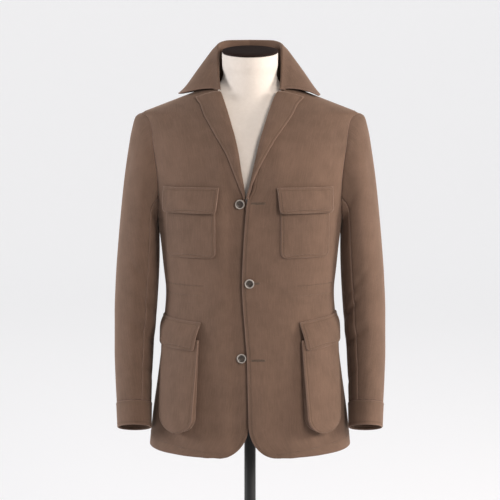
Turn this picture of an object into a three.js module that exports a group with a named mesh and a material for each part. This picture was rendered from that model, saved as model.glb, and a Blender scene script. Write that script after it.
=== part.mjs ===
// A safari jacket buttoned once on a limbless dress form with a pole stand.
// Millimetres, +Z up, the front faces -Y, the origin is on the floor under the pole.
// The garment is worked out from level sections of the body it is cut for: each panel is a
// wall between seams on those sections, and pockets, flaps and lapels are the panel's own
// points moved out.
import * as THREE from "three";

// Driving dimensions

const hemHeight = 695; // hem above the floor
const armpitHeight = 1165;
const shoulderPointHeight = 1383; // top of the sleeve seam
const neckPointHeight = 1438; // shoulder seam at the collar
const shoulderRise = 0.385; // slope of the shoulder seam
const shoulderHalf = 223; // centre line to shoulder point
const clothWall = 2;
const seamGap = 0.3; // between pieces that are sewn together
const layGap = 0.7; // between a piece and the panel that it lies on

// Sections of the jacket's outside: half width at the side seam, depth to the front and the
// back of that seam, and the exponent of the rounded outline.
const bodyRows = [
  { z: 660, half: 213, front: 151, back: 143, square: 2.3 },
  { z: 695, half: 210, front: 150, back: 142, square: 2.3 },
  { z: 760, half: 203, front: 147, back: 140, square: 2.3 },
  { z: 830, half: 193, front: 141, back: 136, square: 2.35 },
  { z: 900, half: 184, front: 133, back: 128, square: 2.4 },
  { z: 960, half: 178, front: 126, back: 117, square: 2.4 },
  { z: 1015, half: 174, front: 122, back: 107, square: 2.4 },
  { z: 1070, half: 179, front: 124, back: 109, square: 2.4 },
  { z: 1120, half: 184, front: 129, back: 117, square: 2.4 },
  { z: 1165, half: 190, front: 133, back: 125, square: 2.4 },
  { z: 1210, half: 199, front: 135, back: 130, square: 2.4 },
  { z: 1260, half: 208, front: 133, back: 131, square: 2.4 },
  { z: 1310, half: 217, front: 125, back: 127, square: 2.4 },
  { z: 1350, half: 222, front: 108, back: 116, square: 2.35 },
  { z: 1383, half: 223, front: 80, back: 97, square: 2.3 },
  { z: 1411, half: 150.3, front: 54, back: 82, square: 2.3 },
  { z: 1430, half: 100.9, front: 41, back: 74, square: 2.3 },
  { z: 1440, half: 75, front: 34, back: 70, square: 2.2 },
  { z: 1465, half: 69, front: 30, back: 65, square: 2.1 },
];

// Front opening: x of the roll line and of the button edge on the under front (wearer's
// right, x < 0) and on the over front (wearer's left).
const openingRows = [
  { z: 764, under: -2, over: -3 },
  { z: 813, under: 4, over: -4.2 },
  { z: 893, under: 10, over: -6 },
  { z: 933, under: 12, over: -9 },
  { z: 1046, under: 17, over: -16 },
  { z: 1122, under: 10, over: -13 },
  { z: 1190, under: -3, over: -8.5 },
  { z: 1215, under: -9, over: -7 },
  { z: 1240, under: -12.5, over: -1 },
  { z: 1268, under: -17.5, over: 5.5 },
  { z: 1301, under: -22.5, over: 13 },
  { z: 1334, under: -29.5, over: 21 },
  { z: 1360, under: -37, over: 29.5 },
  { z: 1386, under: -45, over: 38 },
  { z: 1411, under: -54, over: 48 },
  { z: 1424, under: -59, over: 55 },
  { z: 1438, under: -69, over: 69 },
];
const hemCorner = { top: 764, width: 58 }; // quarter ellipse at the foot of each front edge
const breakHeight = 1215; // where the lapels begin to roll
const gorgeHeight = 1424; // where the roll line meets the collar
const underDip = { depth: 5, from: -75, to: -12 }; // under front sinks towards the overlap

// Lapel width across, measured from the roll line, under side and over side.
const lapelRows = [
  { z: 1215, under: 2, over: 2 },
  { z: 1240, under: 9, over: 4 },
  { z: 1268, under: 15, over: 9 },
  { z: 1301, under: 24, over: 19 },
  { z: 1334, under: 36, over: 31 },
  { z: 1360, under: 44, over: 42 },
  { z: 1386, under: 50, over: 51 },
  { z: 1424, under: 50, over: 54 },
];
const lapelPuff = 2.5; // lapel stands off the front in its middle
const lapelTuck = 16; // facing behind the roll line
const gorgeDrop = 12; // lapel tip below the gorge end at the roll

// Armhole seam on the body: its depth to the front and the back, and how square it is.
const armhole = { front: 72, back: 68, square: 0.65 };

// Sleeve rings: outer and inner point of each, centre, half depth and forward tilt.
const sleeveRows = [
  { outX: 223, outZ: 1383, inX: 190, inZ: 1165, y: 0, deep: 70, tilt: 0 },
  { outX: 234, outZ: 1376, inX: 188.5, inZ: 1158, y: 0, deep: 73, tilt: 0 },
  { outX: 243, outZ: 1347, inX: 187.5, inZ: 1147, y: 1, deep: 75, tilt: 0 },
  { outX: 251, outZ: 1300, inX: 187, inZ: 1132, y: 2, deep: 75, tilt: 0 },
  { outX: 259, outZ: 1245, inX: 187, inZ: 1112, y: 3, deep: 74, tilt: 0 },
  { outX: 266, outZ: 1185, inX: 187.5, inZ: 1086, y: 5, deep: 72, tilt: 0 },
  { outX: 273, outZ: 1115, inX: 189, inZ: 1050, y: 7, deep: 69, tilt: 0 },
  { outX: 279, outZ: 1040, inX: 192, inZ: 1002, y: 8, deep: 66, tilt: 1 },
  { outX: 282, outZ: 965, inX: 196, inZ: 950, y: 6, deep: 63, tilt: 5 },
  { outX: 282, outZ: 895, inX: 201, inZ: 892, y: -3, deep: 60, tilt: 11 },
  { outX: 279, outZ: 830, inX: 203.5, inZ: 832, y: -22, deep: 57, tilt: 16 },
  { outX: 275.5, outZ: 784, inX: 204, inZ: 786, y: -39, deep: 54.5, tilt: 19 },
  { outX: 272, outZ: 737, inX: 204, inZ: 738, y: -58, deep: 52, tilt: 20 },
];
const sleeveClear = 3; // sleeve to body below the armhole seam
const cuff = { wall: 3, proud: 1.2 };
// Columns round the armhole are shared by the sleeve and the panels, so that they meet.
const armholeRows = { front: 13, back: 10 };
const sleeveSeam = { front: 9, back: 6 }; // in those rows, down from the shoulder point

// Collar from the centre back (0) to the gorge (1): fold line, outer edge and neck seam.
const collarRows = [
  { s: 0, foldX: 0, foldY: 75, foldZ: 1531, edgeX: 0, edgeY: 81, edgeZ: 1441, seamX: 0, seamY: 69, seamZ: 1458 },
  { s: 0.25, foldX: 44, foldY: 66, foldZ: 1530, edgeX: 57, edgeY: 76, edgeZ: 1433, seamX: 40, seamY: 61, seamZ: 1457 },
  { s: 0.5, foldX: 66, foldY: 41, foldZ: 1520, edgeX: 107, edgeY: 54, edgeZ: 1427, seamX: 67, seamY: 34, seamZ: 1450 },
  { s: 0.7, foldX: 66.5, foldY: 12, foldZ: 1496, edgeX: 138, edgeY: 27, edgeZ: 1422, seamX: 76, seamY: 6, seamZ: 1446 },
  { s: 0.85, foldX: 65.5, foldY: -14, foldZ: 1463, edgeX: 145, edgeY: -2, edgeZ: 1420, seamX: 75, seamY: -17, seamZ: 1439 },
  { s: 1, foldX: 62, foldY: -40, foldZ: 1431, edgeX: 141, edgeY: -26, edgeZ: 1419, seamX: 71, seamY: -38, seamZ: 1428 },
];
const collarWall = 2.4;
const collarRoll = 4; // radius of the fold
const collarBow = { ends: 8, side: 17 }; // the fall bows out between fold and edge

// Patch pockets on the chest: middle of each, size of patch and flap.
const chestPocket = { foot: 1096, mouth: 1206, width: 98, corner: 12, underX: -117, overX: 109 };
const chestFlap = { top: 1238, foot: 1187, width: 108, flare: 5, corner: 8 };

// Bellows pockets on the skirt: inner edge x at the top and its slant, reach to the side.
const bellows = { foot: 742, mouth: 930, innerX: 101, slant: 9, corner: 34, outerX: 177 };
const bellowsStand = { top: 7, foot: 21, outer: 0.45 }; // how far the face stands off
const bellowsFlap = { top: 966, foot: 908, innerX: 98, slant: 11, outerX: 178 };
const gusset = { wall: 1.6, tuck: 5 };

const buttonSize = { radius: 9.5, thick: 3.2, rim: 1.0, well: 5.4, shank: 2.2, shankRadius: 2 };
const buttons = [
  { name: "button_top", side: "under", x: -20, z: 1205 },
  { name: "button_middle", side: "over", x: -1, z: 1046 },
  { name: "button_low", side: "under", x: -17, z: 895 },
];

const form = { bottom: 782, neckTop: 1504, neckHalf: 57, neckDeep: 57, neckY: 4, capTilt: 11 };
// Inset of the form from the jacket's outside: at its sides, in front and behind.
const formRows = [
  { z: 782, side: 16, front: 15, back: 15 },
  { z: 960, side: 11, front: 13, back: 11 },
  { z: 1215, side: 11, front: 13, back: 9 },
  { z: 1300, side: 14, front: 11, back: 8 },
  { z: 1350, side: 20, front: 11, back: 6 },
  { z: 1378, side: 22, front: 11, back: 5 },
  { z: 1400, side: 8.5, front: 10, back: 4.5 },
  { z: 1434, side: 8, front: 9, back: 4 },
  { z: 1464, side: 8, front: 8, back: 5 },
];
const pole = { radius: 12, sleeveRadius: 17, sleeveHeight: 60 };
const base = { radius: 170, thick: 8, hubRadius: 30, hubHeight: 34 };

// Small tools

const TAU = Math.PI * 2;
const rad = (degrees) => (degrees * Math.PI) / 180;
const mix = (a, b, t) => a + (b - a) * t;
const clamp01 = (t) => Math.min(1, Math.max(0, t));
const smooth = (t) => clamp01(t) * clamp01(t) * (3 - 2 * clamp01(t));
const steps = (n) => Array.from({ length: n + 1 }, (_, i) => i / n);

// A smooth curve through a table's column that never overshoots its rows.
function column(rows, key, value) {
  const t = rows.map((r) => r[key]);
  const v = rows.map((r) => r[value]);
  const slope = v.slice(1).map((b, i) => (b - v[i]) / (t[i + 1] - t[i]));
  const tangent = v.map((_, i) => {
    if (i === 0) return slope[0];
    if (i === v.length - 1) return slope[i - 1];
    const [a, b] = [slope[i - 1], slope[i]];
    return a * b <= 0 ? 0 : (2 * a * b) / (a + b);
  });
  return (x) => {
    let i = 0;
    while (i < t.length - 2 && x > t[i + 1]) i += 1;
    const h = t[i + 1] - t[i];
    const u = clamp01((x - t[i]) / h);
    const u2 = u * u;
    const u3 = u2 * u;
    return (
      v[i] * (2 * u3 - 3 * u2 + 1) +
      v[i + 1] * (3 * u2 - 2 * u3) +
      h * (tangent[i] * (u3 - 2 * u2 + u) + tangent[i + 1] * (u3 - u2))
    );
  };
}

const columns = (rows, key, names) =>
  Object.fromEntries(names.map((n) => [n, column(rows, key, n)]));

const point = (x, y, z) => new THREE.Vector3(x, y, z);

// Unit normal of surface(u, v) at a place, by small steps.
function normalOf(surface, u, v) {
  const e = 1e-3;
  const du = surface(u + e, v).sub(surface(u - e, v));
  const dv = surface(u, v + e).sub(surface(u, v - e));
  return du.cross(dv).normalize();
}

// A closed mesh from rings of points, all of one length: each ring is a closed loop, and the
// first and last are capped with a fan about their middle.
function skin(rings, capped = true) {
  const count = rings[0].length;
  const verts = rings.flat();
  const faces = [];
  for (let r = 0; r + 1 < rings.length; r += 1)
    for (let c = 0; c < count; c += 1) {
      const [a, b] = [r * count + c, r * count + ((c + 1) % count)];
      faces.push([a, b, b + count], [a, b + count, a + count]);
    }
  if (capped)
    [0, rings.length - 1].forEach((r) => {
      const middle = rings[r].reduce((m, p) => m.add(p), point(0, 0, 0)).divideScalar(count);
      const m = verts.push(middle) - 1;
      for (let c = 0; c < count; c += 1) {
        const [a, b] = [r * count + c, r * count + ((c + 1) % count)];
        faces.push(r === 0 ? [b, a, m] : [a, b, m]);
      }
    });
  return closed(verts, faces);
}

// A wall of cloth between two grids of points, rows by columns, closed at its edges.
// Around = true joins the last column to the first, as on a tube.
function wall(outer, inner, around = false) {
  const rows = outer.length;
  const cols = outer[0].length;
  const verts = [...outer.flat(), ...inner.flat()];
  const at = (side, r, c) => side * rows * cols + r * cols + (c % cols);
  const faces = [];
  const quad = (a, b, c, d) => faces.push([a, b, c], [a, c, d]);
  const last = around ? cols : cols - 1;
  for (let r = 0; r + 1 < rows; r += 1)
    for (let c = 0; c < last; c += 1) {
      quad(at(0, r, c), at(0, r, c + 1), at(0, r + 1, c + 1), at(0, r + 1, c));
      quad(at(1, r, c), at(1, r + 1, c), at(1, r + 1, c + 1), at(1, r, c + 1));
    }
  for (let c = 0; c < last; c += 1) {
    quad(at(0, 0, c), at(1, 0, c), at(1, 0, c + 1), at(0, 0, c + 1));
    quad(at(0, rows - 1, c), at(0, rows - 1, c + 1), at(1, rows - 1, c + 1), at(1, rows - 1, c));
  }
  if (!around)
    for (let r = 0; r + 1 < rows; r += 1) {
      quad(at(0, r, 0), at(0, r + 1, 0), at(1, r + 1, 0), at(1, r, 0));
      quad(at(0, r, cols - 1), at(1, r, cols - 1), at(1, r + 1, cols - 1), at(0, r + 1, cols - 1));
    }
  return closed(verts, faces);
}

// Geometry of a closed mesh, turned so that its faces point out.
function closed(verts, faces) {
  const volume = faces.reduce((sum, [a, b, c]) => {
    const cross = new THREE.Vector3().crossVectors(verts[b], verts[c]);
    return sum + verts[a].dot(cross);
  }, 0);
  const turned = volume < 0 ? faces.map(([a, b, c]) => [a, c, b]) : faces;
  const geometry = new THREE.BufferGeometry();
  const flat = Float32Array.from(verts.flatMap((p) => [p.x, p.y, p.z]));
  geometry.setAttribute("position", new THREE.BufferAttribute(flat, 3));
  geometry.setIndex(turned.flat());
  geometry.computeVertexNormals();
  return geometry;
}

// A wall whose outside is surface(u, v) moved out by lift, and whose inside is thickness
// further in. side is 1 or -1, so that the normal points away from the body.
function panel(surface, us, vs, side, lift, thickness, around = false) {
  const grid = (shift) =>
    vs.map((v) =>
      us.map((u) => {
        const n = normalOf(surface, u, v).multiplyScalar(side);
        const out = typeof lift === "function" ? lift(u, v) : lift;
        return surface(u, v).addScaledVector(n, out + shift);
      }),
    );
  return wall(grid(0), grid(-thickness), around);
}

// The body's outside

const body = columns(bodyRows, "z", ["half", "front", "back", "square"]);

// Half width at a level; above the shoulder point it follows the straight shoulder seam.
function halfAt(z) {
  if (z <= shoulderPointHeight || z > neckPointHeight) return body.half(z);
  return shoulderHalf - (z - shoulderPointHeight) / shoulderRise;
}

// A point of the section at height z, turn degrees from the front centre (90 is the side
// seam on +X, 180 the back centre), moved in by an amount at the sides and in depth.
function sectionPoint(z, turn, side = 0, front = 0, back = 0) {
  const a = halfAt(z) - side;
  const t = rad(turn);
  const depth = Math.cos(t) > 0 ? body.front(z) - front : body.back(z) - back;
  const n = 2 / body.square(z);
  const part = (f) => Math.sign(f) * Math.abs(f) ** n;
  return point(a * part(Math.sin(t)), -depth * part(Math.cos(t)), z);
}

// Turn in degrees of the front surface's point at x on level z.
function turnAtX(z, x) {
  const share = Math.min(1, Math.abs(x) / halfAt(z)) ** (body.square(z) / 2);
  return (Math.sign(x) * Math.asin(share) * 180) / Math.PI;
}

// Turn in degrees of the point at depth y on level z, on the front (y < 0) or the back.
function turnAtY(z, y) {
  const depth = y < 0 ? body.front(z) : body.back(z);
  const share = Math.min(1, Math.abs(y) / depth) ** (body.square(z) / 2);
  const acos = (Math.acos(share) * 180) / Math.PI;
  return y < 0 ? acos : 180 - acos;
}

// Depth of the armhole seam at a level: 0 at the armpit and at the shoulder point.
function armholeY(z, toFront) {
  const half = (shoulderPointHeight - armpitHeight) / 2;
  const c = (armpitHeight + half - z) / half;
  const s = Math.sqrt(Math.max(0, 1 - c * c)) ** armhole.square;
  return toFront ? -armhole.front * s : armhole.back * s;
}

// Turn where a panel ends at a level: the side seam, the armhole or the shoulder seam.
function outerTurn(z, toFront) {
  if (z <= armpitHeight || z >= shoulderPointHeight) return 90;
  return turnAtY(z, armholeY(z, toFront) || (toFront ? -1e-6 : 1e-6));
}

// Levels of a panel's rows: even on the skirt, closer round the armhole and at the hem.
function levels(foot, top, skirt, arm, shoulder) {
  const low = steps(skirt).map((t) => mix(foot, armpitHeight, t));
  const half = (shoulderPointHeight - armpitHeight) / 2;
  const mid = steps(arm).slice(1).map((t) => armpitHeight + half * (1 - Math.cos(Math.PI * t)));
  const high = steps(shoulder).slice(1).map((t) => mix(shoulderPointHeight, top, t));
  return [...low, ...mid, ...high];
}

// Fronts

const opening = columns(openingRows, "z", ["under", "over"]);

// x of a front's free edge or roll line at a level, with its rounded hem corner.
function edgeX(z, name) {
  const sign = name === "over" ? 1 : -1;
  const x = opening[name](Math.max(z, hemCorner.top));
  const drop = clamp01((hemCorner.top - z) / (hemCorner.top - hemHeight));
  return x + sign * hemCorner.width * (1 - Math.sqrt(1 - drop * drop));
}

// How far the under front sinks below the over front at x on level z.
function dipAt(x, z, name) {
  if (name === "over") return 0;
  const low = 1 - smooth((z - breakHeight + 10) / 50);
  const soft = underDip.depth * smooth((x - underDip.from) / (underDip.to - underDip.from));
  return ((clothWall + layGap) * smooth((x + 48) / 26) + soft) * low;
}

// A front as a surface of u (free edge to side) and level z.
function frontSurface(name) {
  const sign = name === "over" ? 1 : -1;
  return (u, z) => {
    const start = turnAtX(z, edgeX(z, name));
    const end = sign * outerTurn(z, true);
    const turn = mix(start, end, u);
    const p = sectionPoint(z, turn);
    p.y += dipAt(p.x, z, name);
    return p;
  };
}

// A point of a front's outside at x on level z, and the unit normal there.
function frontAt(name, x, z) {
  const place = (px, pz) => {
    const p = sectionPoint(pz, turnAtX(pz, px));
    p.y += dipAt(px, pz, name);
    return p;
  };
  const e = 0.5;
  const dx = place(x + e, z).sub(place(x - e, z));
  const dz = place(x, z + e).sub(place(x, z - e));
  return { at: place(x, z), normal: dx.cross(dz).normalize() };
}

const cornerLevels = [0, 0.06, 0.22, 0.45, 0.75].map((t) => mix(hemHeight, hemCorner.top, t));
const frontLevels = [
  ...cornerLevels,
  ...levels(hemCorner.top, neckPointHeight - 3, 7, armholeRows.front, 4),
];
const frontShares = steps(11).map((t) => t ** 1.3);

// Keeps a row of shares off the seam at its end and, above the break, off the roll.
function frontGeometry(name) {
  const surface = frontSurface(name);
  const sign = name === "over" ? 1 : -1;
  const spare = 3.2;
  const trimmed = (u, z) => {
    const span = surface(0, z).distanceTo(surface(1, z)) + 1;
    const hold = spare * smooth((z - breakHeight + 20) / 40);
    return surface(mix(Math.min(0.4, hold / span), 1 - Math.min(0.3, seamGap / 2 / span), u), z);
  };
  // The over front's columns run the other way, so that its diagonals mirror the under front's.
  const shares = name === "over" ? [...frontShares].reverse() : frontShares;
  return panel(trimmed, shares, frontLevels, sign, 0, clothWall);
}

// Back

function backSurface(u, z) {
  const side = outerTurn(z, false);
  return sectionPoint(z, mix(side, 360 - side, u));
}

// The back's upper edge dips from the shoulder seam to the centre back.
function backGeometry() {
  const trimmed = (u, v) => {
    const top = neckPointHeight - 3;
    const z = v <= top ? v : v + 12 * Math.sin(Math.PI * u) * ((v - top) / 3);
    const p = backSurface(u, z);
    const push = (seamGap / 2) * Math.sign(u - 0.5) * smooth(Math.abs(u - 0.5) * 8 - 3);
    p.y += z < armpitHeight || z > shoulderPointHeight ? Math.abs(push) : 0;
    return p;
  };
  const rows = levels(hemHeight, neckPointHeight - 3, 8, armholeRows.back, 3);
  return panel(trimmed, steps(16), [...rows, neckPointHeight + 1], 1, 0, clothWall);
}

// Sleeves

const ringNames = ["outX", "outZ", "inX", "inZ", "y", "deep", "tilt"];
const ringRows = sleeveRows.map((r, i) => ({ ...r, t: i / (sleeveRows.length - 1) }));
const ring = columns(ringRows, "t", ringNames);

// A point of the sleeve's outside on +X: t from the armhole to the wrist, turn in degrees
// round the ring from its outer point towards the front.
function sleevePoint(t, turn) {
  const a = rad(turn);
  const [cos, sin] = [Math.cos(a), Math.sin(a)];
  const middle = point((ring.outX(t) + ring.inX(t)) / 2, ring.y(t), (ring.outZ(t) + ring.inZ(t)) / 2);
  const across = point((ring.outX(t) - ring.inX(t)) / 2, 0, (ring.outZ(t) - ring.inZ(t)) / 2);
  const tilt = rad(ring.tilt(t));
  const deep = point(0, -ring.deep(t) * Math.cos(tilt), ring.deep(t) * Math.sin(tilt));
  const arm = middle.addScaledVector(across, cos).addScaledVector(deep, sin);
  const near = 1 - smooth(t / 0.2);
  if (near === 0) return arm;
  return clearOfBody(seamed(arm, cos, sin, near), t);
}

// Pulls a point near the armhole on to the body's armhole seam.
function seamed(arm, cos, sin, near) {
  const z = mix(armpitHeight, shoulderPointHeight, (1 + cos) / 2);
  const seamY = armholeY(z, sin > 0);
  const x = Math.abs(sectionPoint(z, turnAtY(z, seamY || -1e-6)).x);
  const shift = point(x, seamY, z).sub(
    point(mix(190, 223, (1 + cos) / 2), -70 * sin, z),
  );
  return arm.addScaledVector(shift, near);
}

// Keeps the sleeve outside the body panels from the seam on.
function clearOfBody(p, t) {
  if (p.z > shoulderPointHeight - 8) return p;
  const side = sectionPoint(p.z, turnAtY(p.z, p.y || -1e-6)).x;
  p.x = Math.max(p.x, side + sleeveClear * smooth(t / 0.05));
  return p;
}

// Turns round the sleeve of one armhole row after another, from row to row.
function turnsBetween(name, from, to) {
  const count = Math.abs(to - from);
  const step = (name === "front" ? 180 : -180) / armholeRows[name];
  return steps(count).map((t) => step * mix(from, to, t));
}

const topTurns = [
  ...turnsBetween("back", sleeveSeam.back, 0),
  ...turnsBetween("front", 0, sleeveSeam.front).slice(1),
];
const underTurns = [
  ...turnsBetween("front", sleeveSeam.front, armholeRows.front),
  ...turnsBetween("back", armholeRows.back, sleeveSeam.back)
    .slice(1)
    .map((turn) => turn + 360),
];

// One part of the sleeve over some turns, from the armhole to the cuff.
function sleeveGeometry(turns, side) {
  const start = 0.01;
  const end = 0.915;
  const spare = 0.12;
  const ends = turns.map((t, i) => (i === 0 ? spare : i === turns.length - 1 ? -spare : 0));
  const surface = (turn, t) => {
    const p = sleevePoint(t, turn);
    return point(p.x * side, p.y, p.z);
  };
  const rows = [0, 0.02, 0.045, 0.08].map((t) => t + start);
  const rest = steps(11).slice(1).map((t) => mix(0.086, end, t));
  const us = turns.map((turn, i) => turn + ends[i]);
  return panel(surface, us, [...rows, ...rest], side, 0, clothWall);
}

function cuffGeometry(side) {
  const surface = (u, t) => {
    const p = sleevePoint(t, 360 * u);
    return point(p.x * side, p.y, p.z);
  };
  const us = steps(28).slice(0, -1);
  return panel(surface, us, [0.9156, 0.943, 0.971, 0.9995], side, cuff.proud, cuff.wall, true);
}

// Collar

const collarNames = ["foldX", "foldY", "foldZ", "edgeX", "edgeY", "edgeZ", "seamX", "seamY", "seamZ"];
const collar = columns(collarRows, "s", collarNames);

// Section of the collar's middle layer at s: seam, stand, roll over the fold, fall.
function collarSection(s, count) {
  const sign = Math.sign(s) || 1;
  const a = Math.abs(s);
  const place = (n) => point(sign * collar[n + "X"](a), collar[n + "Y"](a), collar[n + "Z"](a));
  const [fold, edge, seam] = [place("fold"), place("edge"), place("seam")];
  const out = edge.clone().sub(fold).setZ(0).normalize();
  const bow = mix(collarBow.ends, collarBow.side, Math.sin(Math.PI * a));
  const fall = (t) => {
    const p = fold.clone().lerp(edge, t);
    const lift = Math.sin(Math.PI * t ** 0.8) * bow;
    return p.addScaledVector(out, lift * 0.8).add(point(0, 0, lift * 0.5));
  };
  const stand = (t) => seam.clone().lerp(fold, t).addScaledVector(out, -2 * Math.sin(Math.PI * t));
  const inner = steps(3).map((t) => stand(t * 0.88));
  const roll = [-0.75, 0, 0.75].map((t) =>
    fold
      .clone()
      .addScaledVector(out, collarRoll * t)
      .add(point(0, 0, -collarRoll * 0.9 * t * t)),
  );
  const outer = steps(count).map((t) => fall(mix(0.14, 1, t)));
  return [...inner, ...roll, ...outer];
}

function collarGeometry() {
  const stations = steps(28).map((t) => 2 * t - 1);
  const lines = stations.map((s) => collarSection(s, 5));
  const thick = collarWall / 2;
  const shifted = (sign) =>
    lines.map((line, i) =>
      line.map((p, j) => {
        const along = lines[Math.min(i + 1, lines.length - 1)][j]
          .clone()
          .sub(lines[Math.max(i - 1, 0)][j]);
        const over = line[Math.min(j + 1, line.length - 1)].clone().sub(line[Math.max(j - 1, 0)]);
        return p.clone().addScaledVector(along.cross(over).normalize(), sign * thick);
      }),
    );
  return wall(shifted(1), shifted(-1));
}

// Lapels

const lapel = columns(lapelRows, "z", ["under", "over"]);

// Section of a lapel at a level: behind the roll, round it, and out over the front.
function lapelSection(name, z) {
  const sign = name === "over" ? 1 : -1;
  const width = lapel[name](z);
  const middle = clothWall / 2;
  const share = (z - breakHeight) / (gorgeHeight - breakHeight);
  const roll = edgeX(z, name);
  const at = (out, lift, drop = 0) => {
    const level = z - drop;
    const f = frontAt(name, roll + sign * out, level);
    return f.at.addScaledVector(f.normal, lift);
  };
  const back = -(clothWall + layGap + middle) - 0.7 * smooth((share - 0.85) / 0.15);
  const lay = layGap + 0.3 + middle + 1.8 * smooth((share - 0.85) / 0.15);
  const tuck = mix(6, lapelTuck, smooth(share * 3));
  const puff = lapelPuff * smooth(share * 2);
  const drop = (t) => gorgeDrop * t * smooth((share - 0.86) / 0.14);
  return [
    at(tuck, back),
    at(tuck / 2, back),
    at(2.2, back),
    at(0, (back + lay) / 2 - 1.4),
    at(0, (back + lay) / 2 + 1.4),
    at(2.2, lay),
    ...[0.25, 0.5, 0.75, 1].map((t) =>
      at(mix(2.2, Math.max(width, 4.5), t), lay + puff * Math.sin(Math.PI * t ** 0.7), drop(t)),
    ),
  ];
}

function lapelGeometry(name) {
  const zs = frontLevels.filter((z) => z > breakHeight + 4 && z < gorgeHeight - 4);
  const rows = [breakHeight, ...zs, gorgeHeight].map((z) => lapelSection(name, z));
  const thick = clothWall / 2;
  const shifted = (sign) =>
    rows.map((line, i) =>
      line.map((p, j) => {
        const up = rows[Math.min(i + 1, rows.length - 1)][j].clone().sub(rows[Math.max(i - 1, 0)][j]);
        const over = line[Math.min(j + 1, line.length - 1)].clone().sub(line[Math.max(j - 1, 0)]);
        return p.clone().addScaledVector(up.cross(over).normalize(), sign * thick);
      }),
    );
  return wall(shifted(1), shifted(-1));
}

// Pieces laid on the fronts

// A point moved out by lift from a front's outside, at a turn from the front centre.
function laid(name, turn, z, lift) {
  const sign = name === "over" ? 1 : -1;
  const place = (t, h) => {
    const p = sectionPoint(h, sign * t);
    p.y += dipAt(p.x, h, name);
    return p;
  };
  const e = 0.2;
  const dt = place(turn + e, z).sub(place(turn - e, z));
  const dz = place(turn, z + e).sub(place(turn, z - e));
  return place(turn, z).addScaledVector(dt.cross(dz).normalize(), sign * lift);
}

// Inset of a rounded lower corner at a distance above the foot.
const corner = (radius, above) =>
  above >= radius ? 0 : radius - Math.sqrt(radius ** 2 - (radius - above) ** 2);

// A wall over rows of a front. Each row gives its level and turns, lift(u, v) its stand-off.
function laidWall(name, rows, count, lift, thickness) {
  const grid = (shift) =>
    rows.map((row) =>
      steps(count).map((u) => {
        const z = row.z + (row.tip || 0) * u;
        return laid(name, mix(row.from, row.to, u), z, lift(u, row) + shift);
      }),
    );
  return wall(grid(thickness), grid(0));
}

const rowsBetween = (foot, top, radius, count) => [
  ...[0, 0.08, 0.3, 0.62].map((t) => foot + radius * t),
  ...steps(count).map((t) => mix(foot + radius, top, t)),
];

function chestPatchGeometry(name) {
  const { foot, mouth, width, corner: radius } = chestPocket;
  const middle = Math.abs(chestPocket[name + "X"]);
  const rows = rowsBetween(foot, mouth, radius, 5).map((z) => {
    const half = width / 2 - corner(radius, z - foot);
    return { z, from: turnAtX(z, middle - half), to: turnAtX(z, middle + half) };
  });
  return laidWall(name, rows, 6, () => layGap, clothWall);
}

function chestFlapGeometry(name) {
  const { top, foot, width, flare, corner: radius } = chestFlap;
  const middle = Math.abs(chestPocket[name + "X"]);
  const rows = rowsBetween(foot, top, radius, 4).map((z) => {
    const slant = flare * ((z - foot) / (top - foot) - 0.5);
    const half = width / 2 - corner(radius, z - foot);
    return {
      z,
      from: turnAtX(z, middle - half - slant),
      to: turnAtX(z, middle + half - slant * 0.3),
      share: (z - foot) / (top - foot),
    };
  });
  const over = layGap + clothWall + layGap;
  return laidWall(name, rows, 7, (u, row) => over + 2.5 * Math.sin(Math.PI * (1 - row.share) ** 2), clothWall);
}

// Turn of the bellows pocket's inner edge at a level.
const bellowsInner = (z, spec, top) =>
  turnAtX(z, spec.innerX + spec.slant * ((top - z) / (top - spec.foot)));

// How far the bellows face's underside stands off the front.
function bellowsLift(u, z) {
  const { foot, mouth } = bellows;
  const share = clamp01((z - foot) / (mouth - foot));
  const stand = mix(bellowsStand.foot, bellowsStand.top, smooth(share));
  return layGap + stand * mix(1, bellowsStand.outer, u) + 2.5 * Math.sin(Math.PI * u);
}

const bellowsRow = (z) => {
  const inset = corner(bellows.corner, z - bellows.foot);
  const from = bellowsInner(z, bellows, bellows.mouth);
  return { z, from: from + inset * 0.36, to: turnAtX(z, bellows.outerX) - inset * 0.36 };
};

function bellowsFaceGeometry(name) {
  const rows = rowsBetween(bellows.foot, bellows.mouth, bellows.corner, 7).map(bellowsRow);
  return laidWall(name, rows, 9, (u, row) => bellowsLift(u, row.z), clothWall);
}

// The bellows: a strip round the sides and foot of the pocket, folded inwards in a V.
function gussetGeometry(name) {
  const zs = rowsBetween(bellows.foot, bellows.mouth, bellows.corner, 7);
  const down = [...zs].reverse().map((z) => ({ z, u: 0, out: -1, low: 0 }));
  const across = steps(9).slice(1, -1).map((u) => ({ z: bellows.foot, u, out: 0, low: 1 }));
  const path = [...down, ...across, ...zs.map((z) => ({ z, u: 1, out: 1, low: 0 }))];
  const place = ({ z, u, out, low }, share, shift) => {
    const row = bellowsRow(z);
    const round = low || clamp01(1 - (z - bellows.foot) / bellows.corner) ** 0.8;
    const inward = gusset.tuck * Math.sin(Math.PI * share) + shift + 1;
    const turn = mix(row.from, row.to, u) - out * (1 - round * 0.6) * inward * 0.33;
    const chord = 1.2 * (1 - smooth((z - bellows.foot) / bellows.corner));
    const top = bellowsLift(u, z) - 4 * seamGap - chord;
    return laid(name, turn, z + inward * round, mix(layGap, top, share));
  };
  const grid = (shift) => path.map((p) => steps(3).map((share) => place(p, share, shift)));
  return wall(grid(0), grid(gusset.wall));
}

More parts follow.
